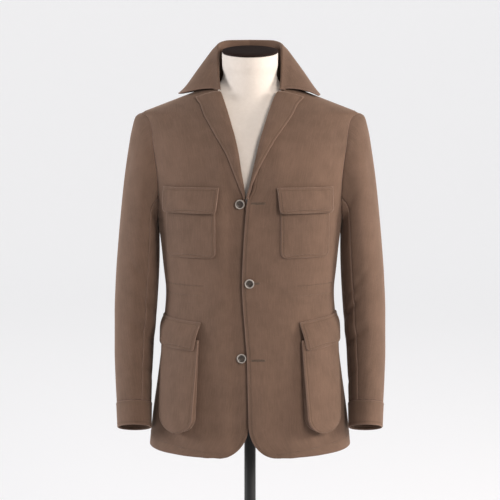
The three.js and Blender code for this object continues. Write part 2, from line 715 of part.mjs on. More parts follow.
function bellowsFlapGeometry(name) {
  const { top, foot, outerX } = bellowsFlap;
  const rows = rowsBetween(foot, top, 5, 5).map((z) => {
    const inset = (corner(5, z - foot) / 190) * (180 / Math.PI);
    const share = (z - foot) / (top - foot);
    return {
      z,
      from: bellowsInner(z, bellowsFlap, top) + inset,
      to: turnAtX(z, outerX) - inset,
      tip: name === "over" ? 9 : 4,
      share,
    };
  });
  const lift = (u, row) => {
    const z = Math.min(row.z + row.tip * u, bellows.mouth);
    const below = bellowsRow(z);
    const across = (mix(row.from, row.to, u) - below.from) / (below.to - below.from);
    const clear = bellowsLift(clamp01(across), z) + clothWall;
    const fall = smooth((1 - row.share) / 0.62);
    return mix(layGap, clear + 1.2, fall) + 1.5 * Math.sin(Math.PI * fall);
  };
  return laidWall(name, rows, 9, lift, clothWall);
}

// A button: turned and dished, on its thread shank.

function buttonGeometry() {
  const { radius, thick, rim, well, shank, shankRadius } = buttonSize;
  const outline = [
    [0, -shank],
    [shankRadius, -shank],
    [shankRadius, 0],
    [radius - 1, 0],
    [radius, 0.9],
    [radius, thick - 0.9],
    [radius - 0.8, thick],
    [radius - 0.8 - rim, thick],
    [well, thick - 1.3],
    [0, thick - 1.5],
    [0, -shank],
  ];
  return new THREE.LatheGeometry(outline.map(([x, y]) => new THREE.Vector2(x, y)), 16);
}

// The form and its stand

const formShape = columns(formRows, "z", ["side", "front", "back"]);

// A ring of the form: the torso, the neck, or the further out of both where they meet.
function formRing(z, count) {
  const { neckTop, neckHalf, neckDeep, neckY, capTilt } = form;
  const low = Math.min(z, 1464);
  const shrink = 1 - 0.35 * smooth((z - 1432) / 40);
  const lean = Math.tan(rad(capTilt)) * smooth((z - 1440) / (neckTop - 1440));
  return steps(count)
    .slice(0, -1)
    .map((t) => {
      const turn = 360 * t;
      const inset = [formShape.side(low), formShape.front(low), formShape.back(low)];
      const torso = sectionPoint(low, turn, ...inset).sub(point(0, neckY, 0));
      const angle = Math.atan2(torso.x, -torso.y);
      const a = Math.hypot(torso.x, torso.y) * shrink;
      const b = z < 1370 ? 0 : Math.hypot(neckHalf * Math.sin(angle), neckDeep * Math.cos(angle));
      const soft = 5;
      const reach = b === 0 ? a : soft * Math.log(Math.exp(a / soft) + Math.exp((b - 3) / soft));
      const radius = b > 0 && z > 1470 ? b : reach;
      const y = neckY - radius * Math.cos(angle);
      return point(radius * Math.sin(angle), y, z + lean * (y - neckY));
    });
}

function formGeometry() {
  const foot = [[form.bottom, 0.9], [form.bottom + 3, 0.97]];
  const zs = [form.bottom + 12, 850, 910, 965, 1015, 1070, 1130, 1190, 1240, 1285, 1320];
  const high = [1345, 1362, 1376, 1388, 1400, 1411, 1421, 1430, 1439, 1449, 1461, 1474, form.neckTop];
  const low = foot.map(([z, size]) =>
    formRing(z, 30).map((p) => point(p.x * size, p.y * size, z)),
  );
  return skin([...low, ...[...zs, ...high].map((z) => formRing(z, 30))]);
}

function capGeometry() {
  const ringAt = (grow, up) =>
    formRing(form.neckTop, 30).map((p) => {
      const middle = point(0, form.neckY, form.neckTop);
      return p.sub(middle).multiplyScalar(grow).add(middle).add(point(0, up * -0.19, up));
    });
  return skin([ringAt(0.97, 0.3), ringAt(1.01, 1.5), ringAt(1.01, 4), ringAt(0.96, 5.5)]);
}

// Assembly

const group = new THREE.Group();
const kinds = {
  cloth: { color: 0x7d6555, roughness: 0.95, metalness: 0 },
  horn: { color: 0x4a4038, roughness: 0.4, metalness: 0 },
  linen: { color: 0xe9dfd0, roughness: 0.9, metalness: 0 },
  felt: { color: 0x362b29, roughness: 0.85, metalness: 0 },
  metal: { color: 0x141414, roughness: 0.45, metalness: 0.6 },
};

function add(name, geometry, kind) {
  const mesh = new THREE.Mesh(geometry, new THREE.MeshStandardMaterial(kinds[kind]));
  mesh.name = name;
  group.add(mesh);
  return mesh;
}

add("back", backGeometry(), "cloth");
[["under", "right", -1], ["over", "left", 1]].forEach(([name, wearer, side]) => {
  add("front_" + wearer, frontGeometry(name), "cloth");
  add("lapel_" + wearer, lapelGeometry(name), "cloth");
  add("sleeve_top_" + wearer, sleeveGeometry(topTurns, side), "cloth");
  add("sleeve_under_" + wearer, sleeveGeometry(underTurns, side), "cloth");
  add("cuff_" + wearer, cuffGeometry(side), "cloth");
  add("chest_pocket_" + wearer, chestPatchGeometry(name), "cloth");
  add("chest_flap_" + wearer, chestFlapGeometry(name), "cloth");
  add("pocket_face_" + wearer, bellowsFaceGeometry(name), "cloth");
  add("pocket_gusset_" + wearer, gussetGeometry(name), "cloth");
  add("pocket_flap_" + wearer, bellowsFlapGeometry(name), "cloth");
});
add("collar", collarGeometry(), "cloth");

buttons.forEach(({ name, side, x, z }) => {
  const f = frontAt(side, x, z);
  const mesh = add(name, buttonGeometry(), "horn");
  mesh.quaternion.setFromUnitVectors(point(0, 1, 0), f.normal);
  mesh.position.copy(f.at).addScaledVector(f.normal, layGap + buttonSize.shank);
});

add("form_body", formGeometry(), "linen");
add("form_cap", capGeometry(), "felt");

const poleTop = form.bottom - 0.3;
const poleFoot = base.thick + base.hubHeight + 0.3;
const poleMesh = add(
  "stand_pole",
  new THREE.CylinderGeometry(pole.radius, pole.radius, poleTop - poleFoot, 24),
  "metal",
);
poleMesh.rotation.x = Math.PI / 2;
poleMesh.position.z = (poleTop + poleFoot) / 2;

const basePoints = [
  [0, 0],
  [base.radius - 1.5, 0],
  [base.radius, 1.5],
  [base.radius, base.thick - 3],
  [base.radius - 3, base.thick],
  [base.hubRadius, base.thick + 2],
  [base.hubRadius - 6, base.thick + base.hubHeight],
  [0, base.thick + base.hubHeight],
  [0, 0],
];
const baseMesh = add(
  "stand_base",
  new THREE.LatheGeometry(basePoints.map(([x, y]) => new THREE.Vector2(x, y)), 36),
  "metal",
);
baseMesh.rotation.x = Math.PI / 2;

export default group;
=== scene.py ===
"""Safari jacket on a bare dress form, for Blender 4.5.

Every piece is worked out in millimetres from the sections of the body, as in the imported
model, but finer, with the cloth's folds, and is turned into metres when its mesh is made.
"""
import math

import bpy
import numpy as np
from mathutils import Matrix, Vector


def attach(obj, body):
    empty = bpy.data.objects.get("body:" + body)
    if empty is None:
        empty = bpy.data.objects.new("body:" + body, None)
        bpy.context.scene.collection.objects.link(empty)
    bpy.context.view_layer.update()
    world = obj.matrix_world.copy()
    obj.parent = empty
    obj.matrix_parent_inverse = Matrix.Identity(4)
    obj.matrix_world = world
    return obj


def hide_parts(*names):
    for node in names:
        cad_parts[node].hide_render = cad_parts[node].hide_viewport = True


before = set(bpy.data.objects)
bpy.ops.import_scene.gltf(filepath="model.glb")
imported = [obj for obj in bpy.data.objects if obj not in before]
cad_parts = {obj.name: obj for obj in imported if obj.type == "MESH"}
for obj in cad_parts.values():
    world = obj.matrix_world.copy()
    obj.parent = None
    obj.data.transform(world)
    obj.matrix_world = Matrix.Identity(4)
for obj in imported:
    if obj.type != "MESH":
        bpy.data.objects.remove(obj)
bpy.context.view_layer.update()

# Sizes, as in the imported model

HEM, ARMPIT, SHOULDER, NECK = 695.0, 1165.0, 1383.0, 1438.0
SHOULDER_RISE = 0.385
SHOULDER_HALF = 223.0
WALL = 2.0
LAY = 0.7  # between a piece and the panel that it lies on
BREAK, GORGE = 1215.0, 1424.0
HEM_CORNER = (764.0, 58.0)  # top and width of the rounded corner
ARMHOLE_FORE, ARMHOLE_REAR = -72.0, 68.0  # y of its foremost and rearmost points
SLEEVE_START, SLEEVE_END, CUFF_SPAN = 0.0004, 0.915, (0.9156, 0.9995)  # shares of its length
REAR_SEAM, FORE_SEAM = -108.0, 1620 / 13  # of the sleeve, in degrees round from its top
HEAD_FREE = SHOULDER - 8  # over this level the sleeve's head isn't held off the body
ROLL = 2.2  # how far the lapel's roll reaches back past the roll line
POCKET_FOOT, POCKET_TOP, POCKET_ROUND, POCKET_OUTER = 742.0, 930.0, 34.0, 177.0  # bellows
SOFT = 0.32  # share of a wall taken off each side at a free edge
STITCH_LIFT = 0.12  # a stitch's middle over the cloth
EDGE_STITCH, HEM_DEPTH = 6.0, 25.0
CASING = (1039.0, 1019.0)  # the two rows of stitches of the waist's drawcord casing
CASING_START, CASING_END = 92.0, 172.0


def table(names, *rows):
    """Columns of a short table, by name."""
    return dict(zip(names.split(), np.array(rows, float).T))


BODY = table(
    "z half front back square",
    (660, 213, 151, 143, 2.3),
    (695, 210, 150, 142, 2.3),
    (760, 203, 147, 140, 2.3),
    (830, 193, 141, 136, 2.35),
    (900, 184, 133, 128, 2.4),
    (960, 178, 126, 117, 2.4),
    (1015, 174, 122, 107, 2.4),
    (1070, 179, 124, 109, 2.4),
    (1120, 184, 129, 117, 2.4),
    (1165, 190, 133, 125, 2.4),
    (1210, 199, 135, 130, 2.4),
    (1260, 208, 133, 131, 2.4),
    (1310, 217, 125, 127, 2.4),
    (1350, 222, 108, 116, 2.35),
    (1383, 223, 80, 97, 2.3),
    (1411, 150.3, 54, 82, 2.3),
    (1430, 100.9, 41, 74, 2.3),
    (1440, 75, 34, 70, 2.2),
    (1465, 69, 30, 65, 2.1),
)
OPENING = table(
    "z under over",
    (764, -2, -3),
    (813, 4, -4.2),
    (893, 10, -6),
    (933, 12, -9),
    (1046, 17, -16),
    (1122, 10, -13),
    (1190, -3, -8.5),
    (1215, -9, -7),
    (1240, -12.5, -1),
    (1268, -17.5, 5.5),
    (1301, -22.5, 13),
    (1334, -29.5, 21),
    (1360, -37, 29.5),
    (1386, -45, 38),
    (1411, -54, 48),
    (1424, -59, 55),
    (1438, -69, 69),
)
LAPEL = table(
    "z under over",
    (1215, 2, 2),
    (1240, 9, 4),
    (1268, 15, 9),
    (1301, 24, 19),
    (1334, 36, 31),
    (1360, 44, 42),
    (1386, 50, 51),
    (1424, 50, 54),
)
SLEEVE = table(
    "outX outZ inX inZ y deep tilt",
    (223, 1383, 190, 1165, 0, 70, 0),
    (234, 1376, 188.5, 1158, 0, 73, 0),
    (243, 1347, 187.5, 1147, 1, 75, 0),
    (251, 1300, 187, 1132, 2, 75, 0),
    (259, 1245, 187, 1112, 3, 74, 0),
    (266, 1185, 187.5, 1086, 5, 72, 0),
    (273, 1115, 189, 1050, 7, 69, 0),
    (279, 1040, 192, 1002, 8, 66, 1),
    (282, 965, 196, 950, 6, 63, 5),
    (282, 895, 201, 892, -3, 60, 11),
    (279, 830, 203.5, 832, -22, 57, 16),
    (275.5, 784, 204, 786, -39, 54.5, 19),
    (272, 737, 204, 738, -58, 52, 20),
)
SLEEVE["t"] = np.linspace(0, 1, len(SLEEVE["y"]))
COLLAR = table(
    "s foldX foldY foldZ edgeX edgeY edgeZ seamX seamY seamZ",
    (0, 0, 75, 1531, 0, 81, 1441, 0, 69, 1458),
    (0.25, 44, 66, 1530, 57, 76, 1433, 40, 61, 1457),
    (0.5, 66, 41, 1520, 107, 54, 1427, 67, 34, 1450),
    (0.7, 66.5, 12, 1496, 138, 27, 1422, 76, 6, 1446),
    (0.85, 65.5, -14, 1463, 145, -2, 1420, 75, -17, 1439),
    (1, 62, -40, 1431, 141, -26, 1419, 71, -38, 1428),
)
FORM = table(
    "z side front back",
    (782, 16, 15, 15),
    (960, 11, 13, 11),
    (1215, 11, 13, 9),
    (1300, 14, 11, 8),
    (1350, 20, 11, 6),
    (1378, 22, 11, 5),
    (1400, 8.5, 10, 4.5),
    (1434, 8, 9, 4),
    (1464, 8, 8, 5),
)
FORM_BOTTOM, NECK_TOP, NECK_RADIUS, NECK_Y, CAP_TILT = 782.0, 1504.0, 57.0, 4.0, 11.0

# Folds of the cloth: a soft trough (or a ridge, where high is over 0) along a line from (x, z)
# to (x2, z2), across which it fades over wide millimetres.
FRONT_FOLDS = table(
    "x z x2 z2 wide high",
    (-46, 1335, -33, 1020, 11, -2.2),
    (-66, 1310, -52, 1075, 15, 1.5),
    (-33, 1010, -40, 860, 12, -1.3),
    (-93, 1044, -94, 1018, 3.5, -1.3),
    (-172, 1186, -128, 1246, 9, -1.8),
    (-184, 1205, -152, 1275, 11, -1.5),
    (-165, 1032, -60, 1027, 8, -1.1),
    (-150, 1010, -96, 985, 9, -1.0),
    (-150, 1064, -104, 1050, 8, -0.9),
    (-62, 900, -74, 700, 17, -2.0),
    (-88, 735, -92, 690, 12, 1.6),
    (-150, 735, -162, 690, 15, -2.0),
    (-48, 1090, -28, 1046, 8, -1.2),
    (170, 1182, 126, 1240, 9, -1.6),
    (186, 1208, 150, 1268, 12, -1.4),
    (62, 1029, 168, 1034, 8, -1.1),
    (96, 1004, 150, 978, 9, -1.1),
    (40, 1052, 92, 1074, 8, -1.0),
    (28, 1040, 70, 1010, 9, -1.2),
    (40, 930, 58, 705, 18, -2.1),
    (84, 740, 90, 690, 13, 1.8),
    (146, 740, 160, 690, 14, -1.7),
    (60, 1330, 44, 1210, 13, 1.2),
    (186, 1330, 150, 1378, 14, -1.4),
    (-188, 1332, -152, 1380, 14, -1.3),
)
BACK_FOLDS = table(
    "x z x2 z2 wide high",
    (-182, 1190, -120, 1262, 12, -2.4),
    (-170, 1240, -118, 1320, 13, -1.8),
    (176, 1186, 128, 1252, 12, -2.2),
    (184, 1238, 122, 1334, 14, -1.9),
    (-120, 1046, 60, 1030, 10, -1.9),
    (-40, 1010, 128, 1022, 11, -1.7),
    (-130, 1084, -20, 1072, 12, -1.2),
    (30, 1076, 140, 1088, 10, -1.4),
    (-86, 900, -104, 700, 19, -2.6),
    (-34, 860, -42, 695, 16, 1.7),
    (22, 890, 34, 700, 18, -2.1),
    (96, 870, 118, 695, 20, -2.4),
    (-70, 1425, 68, 1425, 13, -1.0),
    (0, 1320, 4, 1130, 26, -1.6),
)
# The same on a sleeve, in degrees round it and share of its length from the armhole.
SLEEVE_FOLDS = table(
    "turn t turn2 t2 wide high",
    (112, 0.60, 176, 0.66, 7, -2.6),
    (104, 0.66, 168, 0.70, 8, 1.8),
    (98, 0.70, 172, 0.75, 7, -2.4),
    (80, 0.53, 150, 0.58, 8, -1.6),
    (120, 0.80, 185, 0.84, 7, -1.7),
    (60, 0.78, 112, 0.83, 9, -1.2),
    (-70, 0.10, -44, 0.34, 13, -1.6),
    (58, 0.08, 44, 0.33, 12, -1.7),
    (24, 0.03, 14, 0.22, 14, -1.1),
    (-30, 0.55, -84, 0.63, 12, -1.6),
    (-46, 0.66, -110, 0.70, 11, -1.8),
    (205, 0.30, 238, 0.52, 12, -1.5),
    (150, 0.16, 136, 0.34, 10, -1.6),
    (200, 0.74, 250, 0.80, 10, -1.3),
)
DEGREE_MM, SLEEVE_MM = 0.95, 640.0  # a degree round the sleeve, and its whole length
for key, scale in (("turn", DEGREE_MM), ("turn2", DEGREE_MM), ("t", SLEEVE_MM), ("t2", SLEEVE_MM)):
    SLEEVE_FOLDS[key] = SLEEVE_FOLDS[key] * scale
SLEEVE_DEEPER = 1.5  # soft light hides shallower folds

# Small tools


def mix(a, b, t):
    return a + (b - a) * t


def smooth(t):
    t = np.clip(t, 0, 1)
    return t * t * (3 - 2 * t)


def column(rows, key, value):
    """A smooth curve through a table's column that never overshoots its rows."""
    t, v = rows[key], rows[value]
    slope = np.diff(v) / np.diff(t)
    a, b = slope[:-1], slope[1:]
    safe = np.where(a * b > 0, a + b, 1)
    middle = np.where(a * b > 0, 2 * a * b / safe, 0)
    tangent = np.concatenate([slope[:1], middle, slope[-1:]])

    def curve(x):
        x = np.asarray(x, float)
        i = np.clip(np.searchsorted(t, x, side="left") - 1, 0, len(t) - 2)
        h = t[i + 1] - t[i]
        u = np.clip((x - t[i]) / h, 0, 1)
        u2, u3 = u * u, u * u * u
        ends = v[i] * (2 * u3 - 3 * u2 + 1) + v[i + 1] * (3 * u2 - 2 * u3)
        return ends + h * (tangent[i] * (u3 - 2 * u2 + u) + tangent[i + 1] * (u3 - u2))

    return curve


def columns(rows, key):
    return {name: column(rows, key, name) for name in rows if name != key}


def points(x, y, z):
    return np.stack(np.broadcast_arrays(x, y, z), axis=-1).astype(float)


def unit(v):
    return v / np.maximum(np.linalg.norm(v, axis=-1, keepdims=True), 1e-9)


def off_zero(y, nearest=-1e-6):
    return np.where(np.abs(y) < 1e-6, nearest, y)


def walk(grid, axis=0):
    """Distance along the cloth from a grid's first row, or on axis 1 its first column."""
    steps = np.diff(grid, axis=axis, prepend=np.take(grid, [0], axis))
    return np.linalg.norm(steps, axis=-1).cumsum(axis=axis)


def across(n, length, finish=1.0):
    """n + 1 even shares, with a line more near each end for a soft edge."""
    edge = finish / length
    inner = np.linspace(0, 1, n + 1)[1:-1]
    inner = inner[(inner > 2.2 * edge) & (inner < 1 - 2.2 * edge)]
    return np.concatenate([[0, edge], inner, [1 - edge, 1]])


def fold_height(rows, x, z):
    """Height of all folds of a table at places (x, z)."""
    x, z = np.broadcast_arrays(np.asarray(x, float), np.asarray(z, float))
    total = np.zeros(x.shape)
    first, second = ("x", "z") if "x" in rows else ("turn", "t")
    for i in range(len(rows["high"])):
        ax, az = rows[first][i], rows[second][i]
        bx, bz = rows[first + "2"][i] - ax, rows[second + "2"][i] - az
        length = math.hypot(bx, bz)
        along = ((x - ax) * bx + (z - az) * bz) / length**2
        beyond = np.maximum(np.abs(along - 0.5) - 0.5, 0) * length
        off = ((x - ax) * bz - (z - az) * bx) / length
        wide = rows["wide"][i]
        bend = 0.35 * wide * np.sin(3.1 * along + 1.7 * i)
        taper = 0.55 + 0.45 * np.sin(np.pi * np.clip(along, 0, 1))
        total += rows["high"][i] * taper * np.exp(
            -(((off + bend) / wide) ** 2) - (beyond / (1.6 * wide)) ** 2
        )
    return total


# The body's outside

body = columns(BODY, "z")
opening = columns(OPENING, "z")
lapel_width = columns(LAPEL, "z")


def half_at(z):
    slope = SHOULDER_HALF - (z - SHOULDER) / SHOULDER_RISE
    return np.where((z > SHOULDER) & (z <= NECK), slope, body["half"](z))


def section(z, turn, side=0, front=0, back=0):
    """A point of the section at height z, turn degrees round from the front centre."""
    t = np.radians(turn)
    fore = np.cos(t) > 0
    depth = np.where(fore, body["front"](z) - front, body["back"](z) - back)
    n = 2 / body["square"](z)
    sin, cos = np.sin(t), np.cos(t)
    x = (half_at(z) - side) * np.sign(sin) * np.abs(sin) ** n
    y = -depth * np.sign(cos) * np.abs(cos) ** n
    return points(x, y, z)


def turn_at_x(z, x):
    share = np.clip(np.abs(x) / half_at(z), 0, 1) ** (body["square"](z) / 2)
    return np.sign(x) * np.degrees(np.arcsin(share))


def turn_at_y(z, y):
    depth = np.where(y < 0, body["front"](z), body["back"](z))
    share = np.clip(np.abs(y) / depth, 0, 1) ** (body["square"](z) / 2)
    turn = np.degrees(np.arccos(share))
    return np.where(y < 0, turn, 180 - turn)


def armhole_y(z, fore):
    half = (SHOULDER - ARMPIT) / 2
    c = (ARMPIT + half - z) / half
    s = np.sqrt(np.maximum(0, 1 - c * c)) ** 0.65
    return np.where(fore, ARMHOLE_FORE * s, ARMHOLE_REAR * s)


def outer_turn(z, fore):
    y = off_zero(armhole_y(z, fore), -1e-6 if fore else 1e-6)
    return np.where((z <= ARMPIT) | (z >= SHOULDER), 90.0, turn_at_y(z, y))


def creased(p, rows, keep=1.0):
    """Moves points of a section out by the folds of a table."""
    z = p[..., 2]
    depth = np.where(p[..., 1] < 0, body["front"](z), body["back"](z))
    out = unit(points(p[..., 0] / half_at(z) ** 2, p[..., 1] / depth**2, 0 * z))
    return p + out * (fold_height(rows, p[..., 0], z) * keep)[..., None]


def edge_x(z, name):
    """x of a front's free edge or roll line, with its rounded hem corner."""
    top, width = HEM_CORNER
    sign = 1 if name == "over" else -1
    drop = np.clip((top - z) / (top - HEM), 0, 1)
    corner = width * (1 - np.sqrt(1 - drop * drop))
    return opening[name](np.maximum(z, top)) + sign * corner


def dip(x, z, name):
    """How far the under front sinks below the over front."""
    if name == "over":
        return 0 * x
    low = 1 - smooth((z - BREAK + 10) / 50)
    step = (WALL + LAY) * smooth((x + 48) / 26)
    return (step + 5 * smooth((x + 75) / 63)) * low


def front_at(name, x, z):
    """Points of a front's outside at x on level z."""
    x, z = np.broadcast_arrays(np.asarray(x, float), np.asarray(z, float))
    p = section(z, turn_at_x(z, x))
    p[..., 1] += dip(p[..., 0], z, name)
    return creased(p, FRONT_FOLDS)


def laid(name, x, z, lift):
    """Points moved out by lift from a front's outside at x on level z."""
    e = 0.25
    dx = front_at(name, x + e, z) - front_at(name, x - e, z)
    dz = front_at(name, x, z + e) - front_at(name, x, z - e)
    return front_at(name, x, z) + unit(np.cross(dx, dz)) * np.asarray(lift)[..., None]


# The pieces' shapes, as grids of points in millimetres


def front_grid(name):
    levels = np.concatenate(
        [
            HEM + (HEM_CORNER[0] - HEM) * across(16, 69)[:-1] ** 1.25,
            np.linspace(HEM_CORNER[0], NECK - 4, 118),
            [NECK - 3],
        ]
    )
    z, u = np.meshgrid(levels, across(44, 185), indexing="ij")
    sign = 1 if name == "over" else -1
    start = turn_at_x(z, edge_x(z, name))
    end = sign * outer_turn(z, True)
    span = np.abs(section(z, end)[..., 0] - section(z, start)[..., 0]) + 40
    hold = 3.2 * smooth((z - BREAK + 20) / 40) / span
    u = mix(hold, 1 - 0.15 / span, u)
    p = section(z, mix(start, end, u))
    p[..., 1] += dip(p[..., 0], z, name)
    return creased(p, FRONT_FOLDS, 1 - smooth((u - 0.86) / 0.14)), sign


def back_grid():
    top = NECK - 3
    levels = np.concatenate([HEM + across(120, 740) * (top - HEM), [NECK - 1.5, NECK + 1]])
    v, u = np.meshgrid(levels, across(84, 420), indexing="ij")
    z = np.where(v <= top, v, v + 12 * np.sin(np.pi * u) * (v - top) / 3)
    side = outer_turn(z, False)
    p = section(z, mix(side, 360 - side, u))
    seamed = (z < ARMPIT) | (z > SHOULDER)  # to the fronts, and 0.15 mm clear of them
    p[..., 1] += np.where(seamed, 0.15 * smooth(np.abs(u - 0.5) * 8 - 3), 0)
    ends = smooth(np.minimum(u, 1 - u) / 0.08) * (1 - smooth((v - 1400) / 35))
    return creased(p, BACK_FOLDS, ends)


ring = columns(SLEEVE, "t")


def sleeve_points(t, turn, side, folded=1.0):
    """Points of a sleeve's outside: t from armhole to wrist, turn degrees from its top."""
    t, turn = np.broadcast_arrays(np.asarray(t, float), np.asarray(turn, float))
    a, r = np.radians(turn), {name: ring[name](t) for name in ring}
    cos, sin, tilt = np.cos(a), np.sin(a), np.radians(r["tilt"])
    middle = points((r["outX"] + r["inX"]) / 2, r["y"], (r["outZ"] + r["inZ"]) / 2)
    p = middle + points(
        cos * (r["outX"] - r["inX"]) / 2,
        -sin * r["deep"] * np.cos(tilt),
        cos * (r["outZ"] - r["inZ"]) / 2 + sin * r["deep"] * np.sin(tilt),
    )
    # Near the armhole the rings take up its line, and keep clear of the body
    near, up = 1 - smooth(t / 0.2), (1 + cos) / 2
    level = mix(ARMPIT, SHOULDER, up)
    seam_y = off_zero(armhole_y(level, sin > 0))
    seam_x = np.abs(section(level, turn_at_y(level, seam_y))[..., 0])
    first_x = mix(SLEEVE["inX"][0], SLEEVE["outX"][0], up)
    shift = points(seam_x - first_x, seam_y + SLEEVE["deep"][0] * sin, 0)
    p = p + shift * near[..., None]
    low = np.minimum(p[..., 2], HEAD_FREE)
    clear = section(low, turn_at_y(low, off_zero(p[..., 1])))[..., 0] + 3 * smooth(t / 0.05)
    held = (near > 0) & (p[..., 2] <= HEAD_FREE)
    p[..., 0] = np.where(held, np.maximum(p[..., 0], clear), p[..., 0])
    about, other = np.where(turn < -115, turn + 360, turn), side < 0
    height = fold_height(SLEEVE_FOLDS, about * DEGREE_MM + 6 * other, t * SLEEVE_MM + 11 * other)
    start = smooth(t / 0.03)
    p = p + unit(p - middle) * (height * folded * SLEEVE_DEEPER * start)[..., None]
    # The head's first rows are drawn in, where they would stand off the shoulder
    p[..., 0] -= 6 * np.exp(-((about / 32) ** 2)) * (1 - start)
    p[..., 0] *= side
    return p


COLLAR_CURVES = columns(COLLAR, "s")


def collar_grid():
    s = mix(-1, 1, across(150, 520))
    a = np.abs(s)[:, None]
    flip = {"X": np.where(s < 0, -1, 1)[:, None], "Y": 1, "Z": 1}

    def place(line):
        return points(*(COLLAR_CURVES[line + axis](a) * flip[axis] for axis in "XYZ"))

    fold, edge, seam = place("fold"), place("edge"), place("seam")
    out = edge - fold
    out[..., 2] = 0
    out = unit(out)
    bow = mix(8, 11.5, np.sin(np.pi * a))
    up = np.array([0, 0, 1.0])
    rise = np.array([0, 0.03, *np.linspace(0.12, 0.88, 14)])[None, :, None]
    stand = seam + (fold - seam) * rise - 2 * np.sin(np.pi * rise) * out
    roll = np.linspace(-0.75, 0.75, 7)[None, :, None]
    fold_over = fold + out * 4 * roll - up * 3.6 * roll**2
    t = np.array([*np.linspace(0.14, 0.96, 24), 0.988, 1.0])[None, :, None]
    lift = np.sin(np.pi * t**0.8) * bow[..., None]
    fall = fold + (edge - fold) * t + out * lift * 0.8 + up * lift * 0.5
    s = s[:, None, None]
    wave = 1.6 * np.sin(5.3 * s + 0.6) * t**2 + 0.9 * np.sin(11 * s) * t**3
    return np.concatenate([stand, fold_over, fall + (out + up) * wave], axis=1)


def lapel_grid(name):
    sign = 1 if name == "over" else -1
    z = mix(BREAK, GORGE, across(58, 210))[:, None]
    width = np.maximum(lapel_width[name](z), 4.5)
    share = (z - BREAK) / (GORGE - BREAK)
    top = smooth((share - 0.85) / 0.15)
    back = -(WALL + LAY + 1) - 0.7 * top
    lay = LAY + 0.3 + 1 + 1.8 * top
    tuck = mix(6, 16, smooth(share * 3))
    puff = 2.5 * smooth(share * 2)
    inner = np.linspace(1, ROLL / 16, 6)[None, :]
    around = np.linspace(-80, 80, 9)[None, :]
    t = np.array([*np.linspace(0, 0.95, 18), 0.98, 1.0])[None, :]
    middle, radius = (back + lay) / 2, (lay - back) / 2
    out = np.concatenate(
        [
            np.maximum(tuck * inner, ROLL),
            ROLL * (1 - np.cos(np.radians(around))) + 0 * z,
            mix(ROLL, width, t),
        ],
        axis=1,
    )
    lift = np.concatenate(
        [
            back + 0 * inner,
            middle + radius * np.sin(np.radians(around)),
            lay + puff * np.sin(np.pi * t**0.7),
        ],
        axis=1,
    )
    falls = 12 * np.concatenate([0 * inner + 0 * z, 0 * around + 0 * z, t + 0 * z], axis=1)
    level = z - falls * smooth((share - 0.86) / 0.14)
    return laid(name, edge_x(z, name) + sign * out, level, lift), sign


def corner(radius, above):
    inside = np.sqrt(np.maximum(0, radius**2 - np.clip(radius - above, 0, radius) ** 2))
    return np.where(above >= radius, 0, radius - inside)


class Patch:
    """A pocket or flap that lies on a front between two edges x(z), foot and top."""

    def __init__(self, inner, outer, foot, top, radius, lift, tip=0.0):
        self.inner, self.outer, self.foot, self.top = inner, outer, foot, top
        self.radius, self.lift, self.tip = radius, lift, tip

    def at(self, name, x_share, z, extra=0.0, inset=0.0):
        """Points at a share of the way across on level z, before the tip's slant."""
        sign = 1 if name == "over" else -1
        curve = corner(np.maximum(self.radius - inset, 0.5), z - self.foot - inset)
        a, b = self.inner(z) + inset + curve, self.outer(z) - inset - curve
        x = mix(a, b, x_share)
        share = (x - self.inner(z)) / (self.outer(z) - self.inner(z))
        return laid(name, sign * x, z + self.tip * share, self.lift(share, z) + extra)

    def grid(self, name, wide, high):
        foot, top = self.foot, self.top
        near = foot + self.radius * (1 - np.cos(np.linspace(0, np.pi / 2, 11)))
        far = np.linspace(foot + self.radius, top, high)[1:-1]
        z = np.concatenate([[foot, foot + 0.35], near[1:], far, [top - 0.8, top]])
        z, u = np.meshgrid(np.sort(z), across(wide, (top - foot) * 0.8), indexing="ij")
        return self.at(name, u, z, WALL)

    def seam_line(self, name, inset, top=False):
        """A line inside the edges, down, along the foot and up, and its outward direction."""
        bent, low = max(self.radius - inset, 0.5), self.foot + inset
        bend = low + bent * (1 - np.sin(np.linspace(0, np.pi / 2, 12)))
        down = np.concatenate([np.linspace(self.top - 1.5, low + bent, 60), bend[1:]])
        u = np.linspace(0, 1, 60)
        runs = [(0 * down, down), (u[1:-1], 0 * u[1:-1] + low), (0 * down + 1, down[::-1])]
        if top:
            runs.append((u[::-1], 0 * u + self.top - 1.5))
        u, z = (np.concatenate(column) for column in zip(*runs))
        on, above = (self.at(name, u, z, WALL + STITCH_LIFT + h, inset) for h in (0, 1))
        return on, above - on


def constant(value):
    return lambda z: value + 0 * np.asarray(z, float)


def chest_pieces(name):
    middle = 117 if name == "under" else 109
    sides = constant(middle - 49), constant(middle + 49)
    patch = Patch(*sides, 1096, 1206, 12, lambda u, z: LAY + 0 * u)
    foot, top = 1187, 1238

    def rise(z):
        return (z - foot) / (top - foot)

    def lift(u, z):
        lifted_foot = (4.4 + 1.3 * np.sin(5 * u + 1)) * smooth(1.15 - 1.2 * rise(z))
        return 2 * LAY + WALL + lifted_foot

    inner = lambda z: middle - 54 - 5 * (rise(z) - 0.5)
    outer = lambda z: middle + 54 + 1.5 * (rise(z) - 0.5)
    return patch, Patch(inner, outer, foot, top, 8, lift)


def pocket_rise(z):
    return (z - POCKET_FOOT) / (POCKET_TOP - POCKET_FOOT)


def bellows_lift(u, z):
    stand = mix(21, 7, smooth(pocket_rise(z)))
    return LAY + stand * mix(1, 0.45, u) + 2.5 * np.sin(np.pi * np.clip(u, 0, 1))


def bellows_face():
    inner = lambda z: 101 + 9 * (1 - pocket_rise(z))
    outer = constant(POCKET_OUTER)
    return Patch(inner, outer, POCKET_FOOT, POCKET_TOP, POCKET_ROUND, bellows_lift)


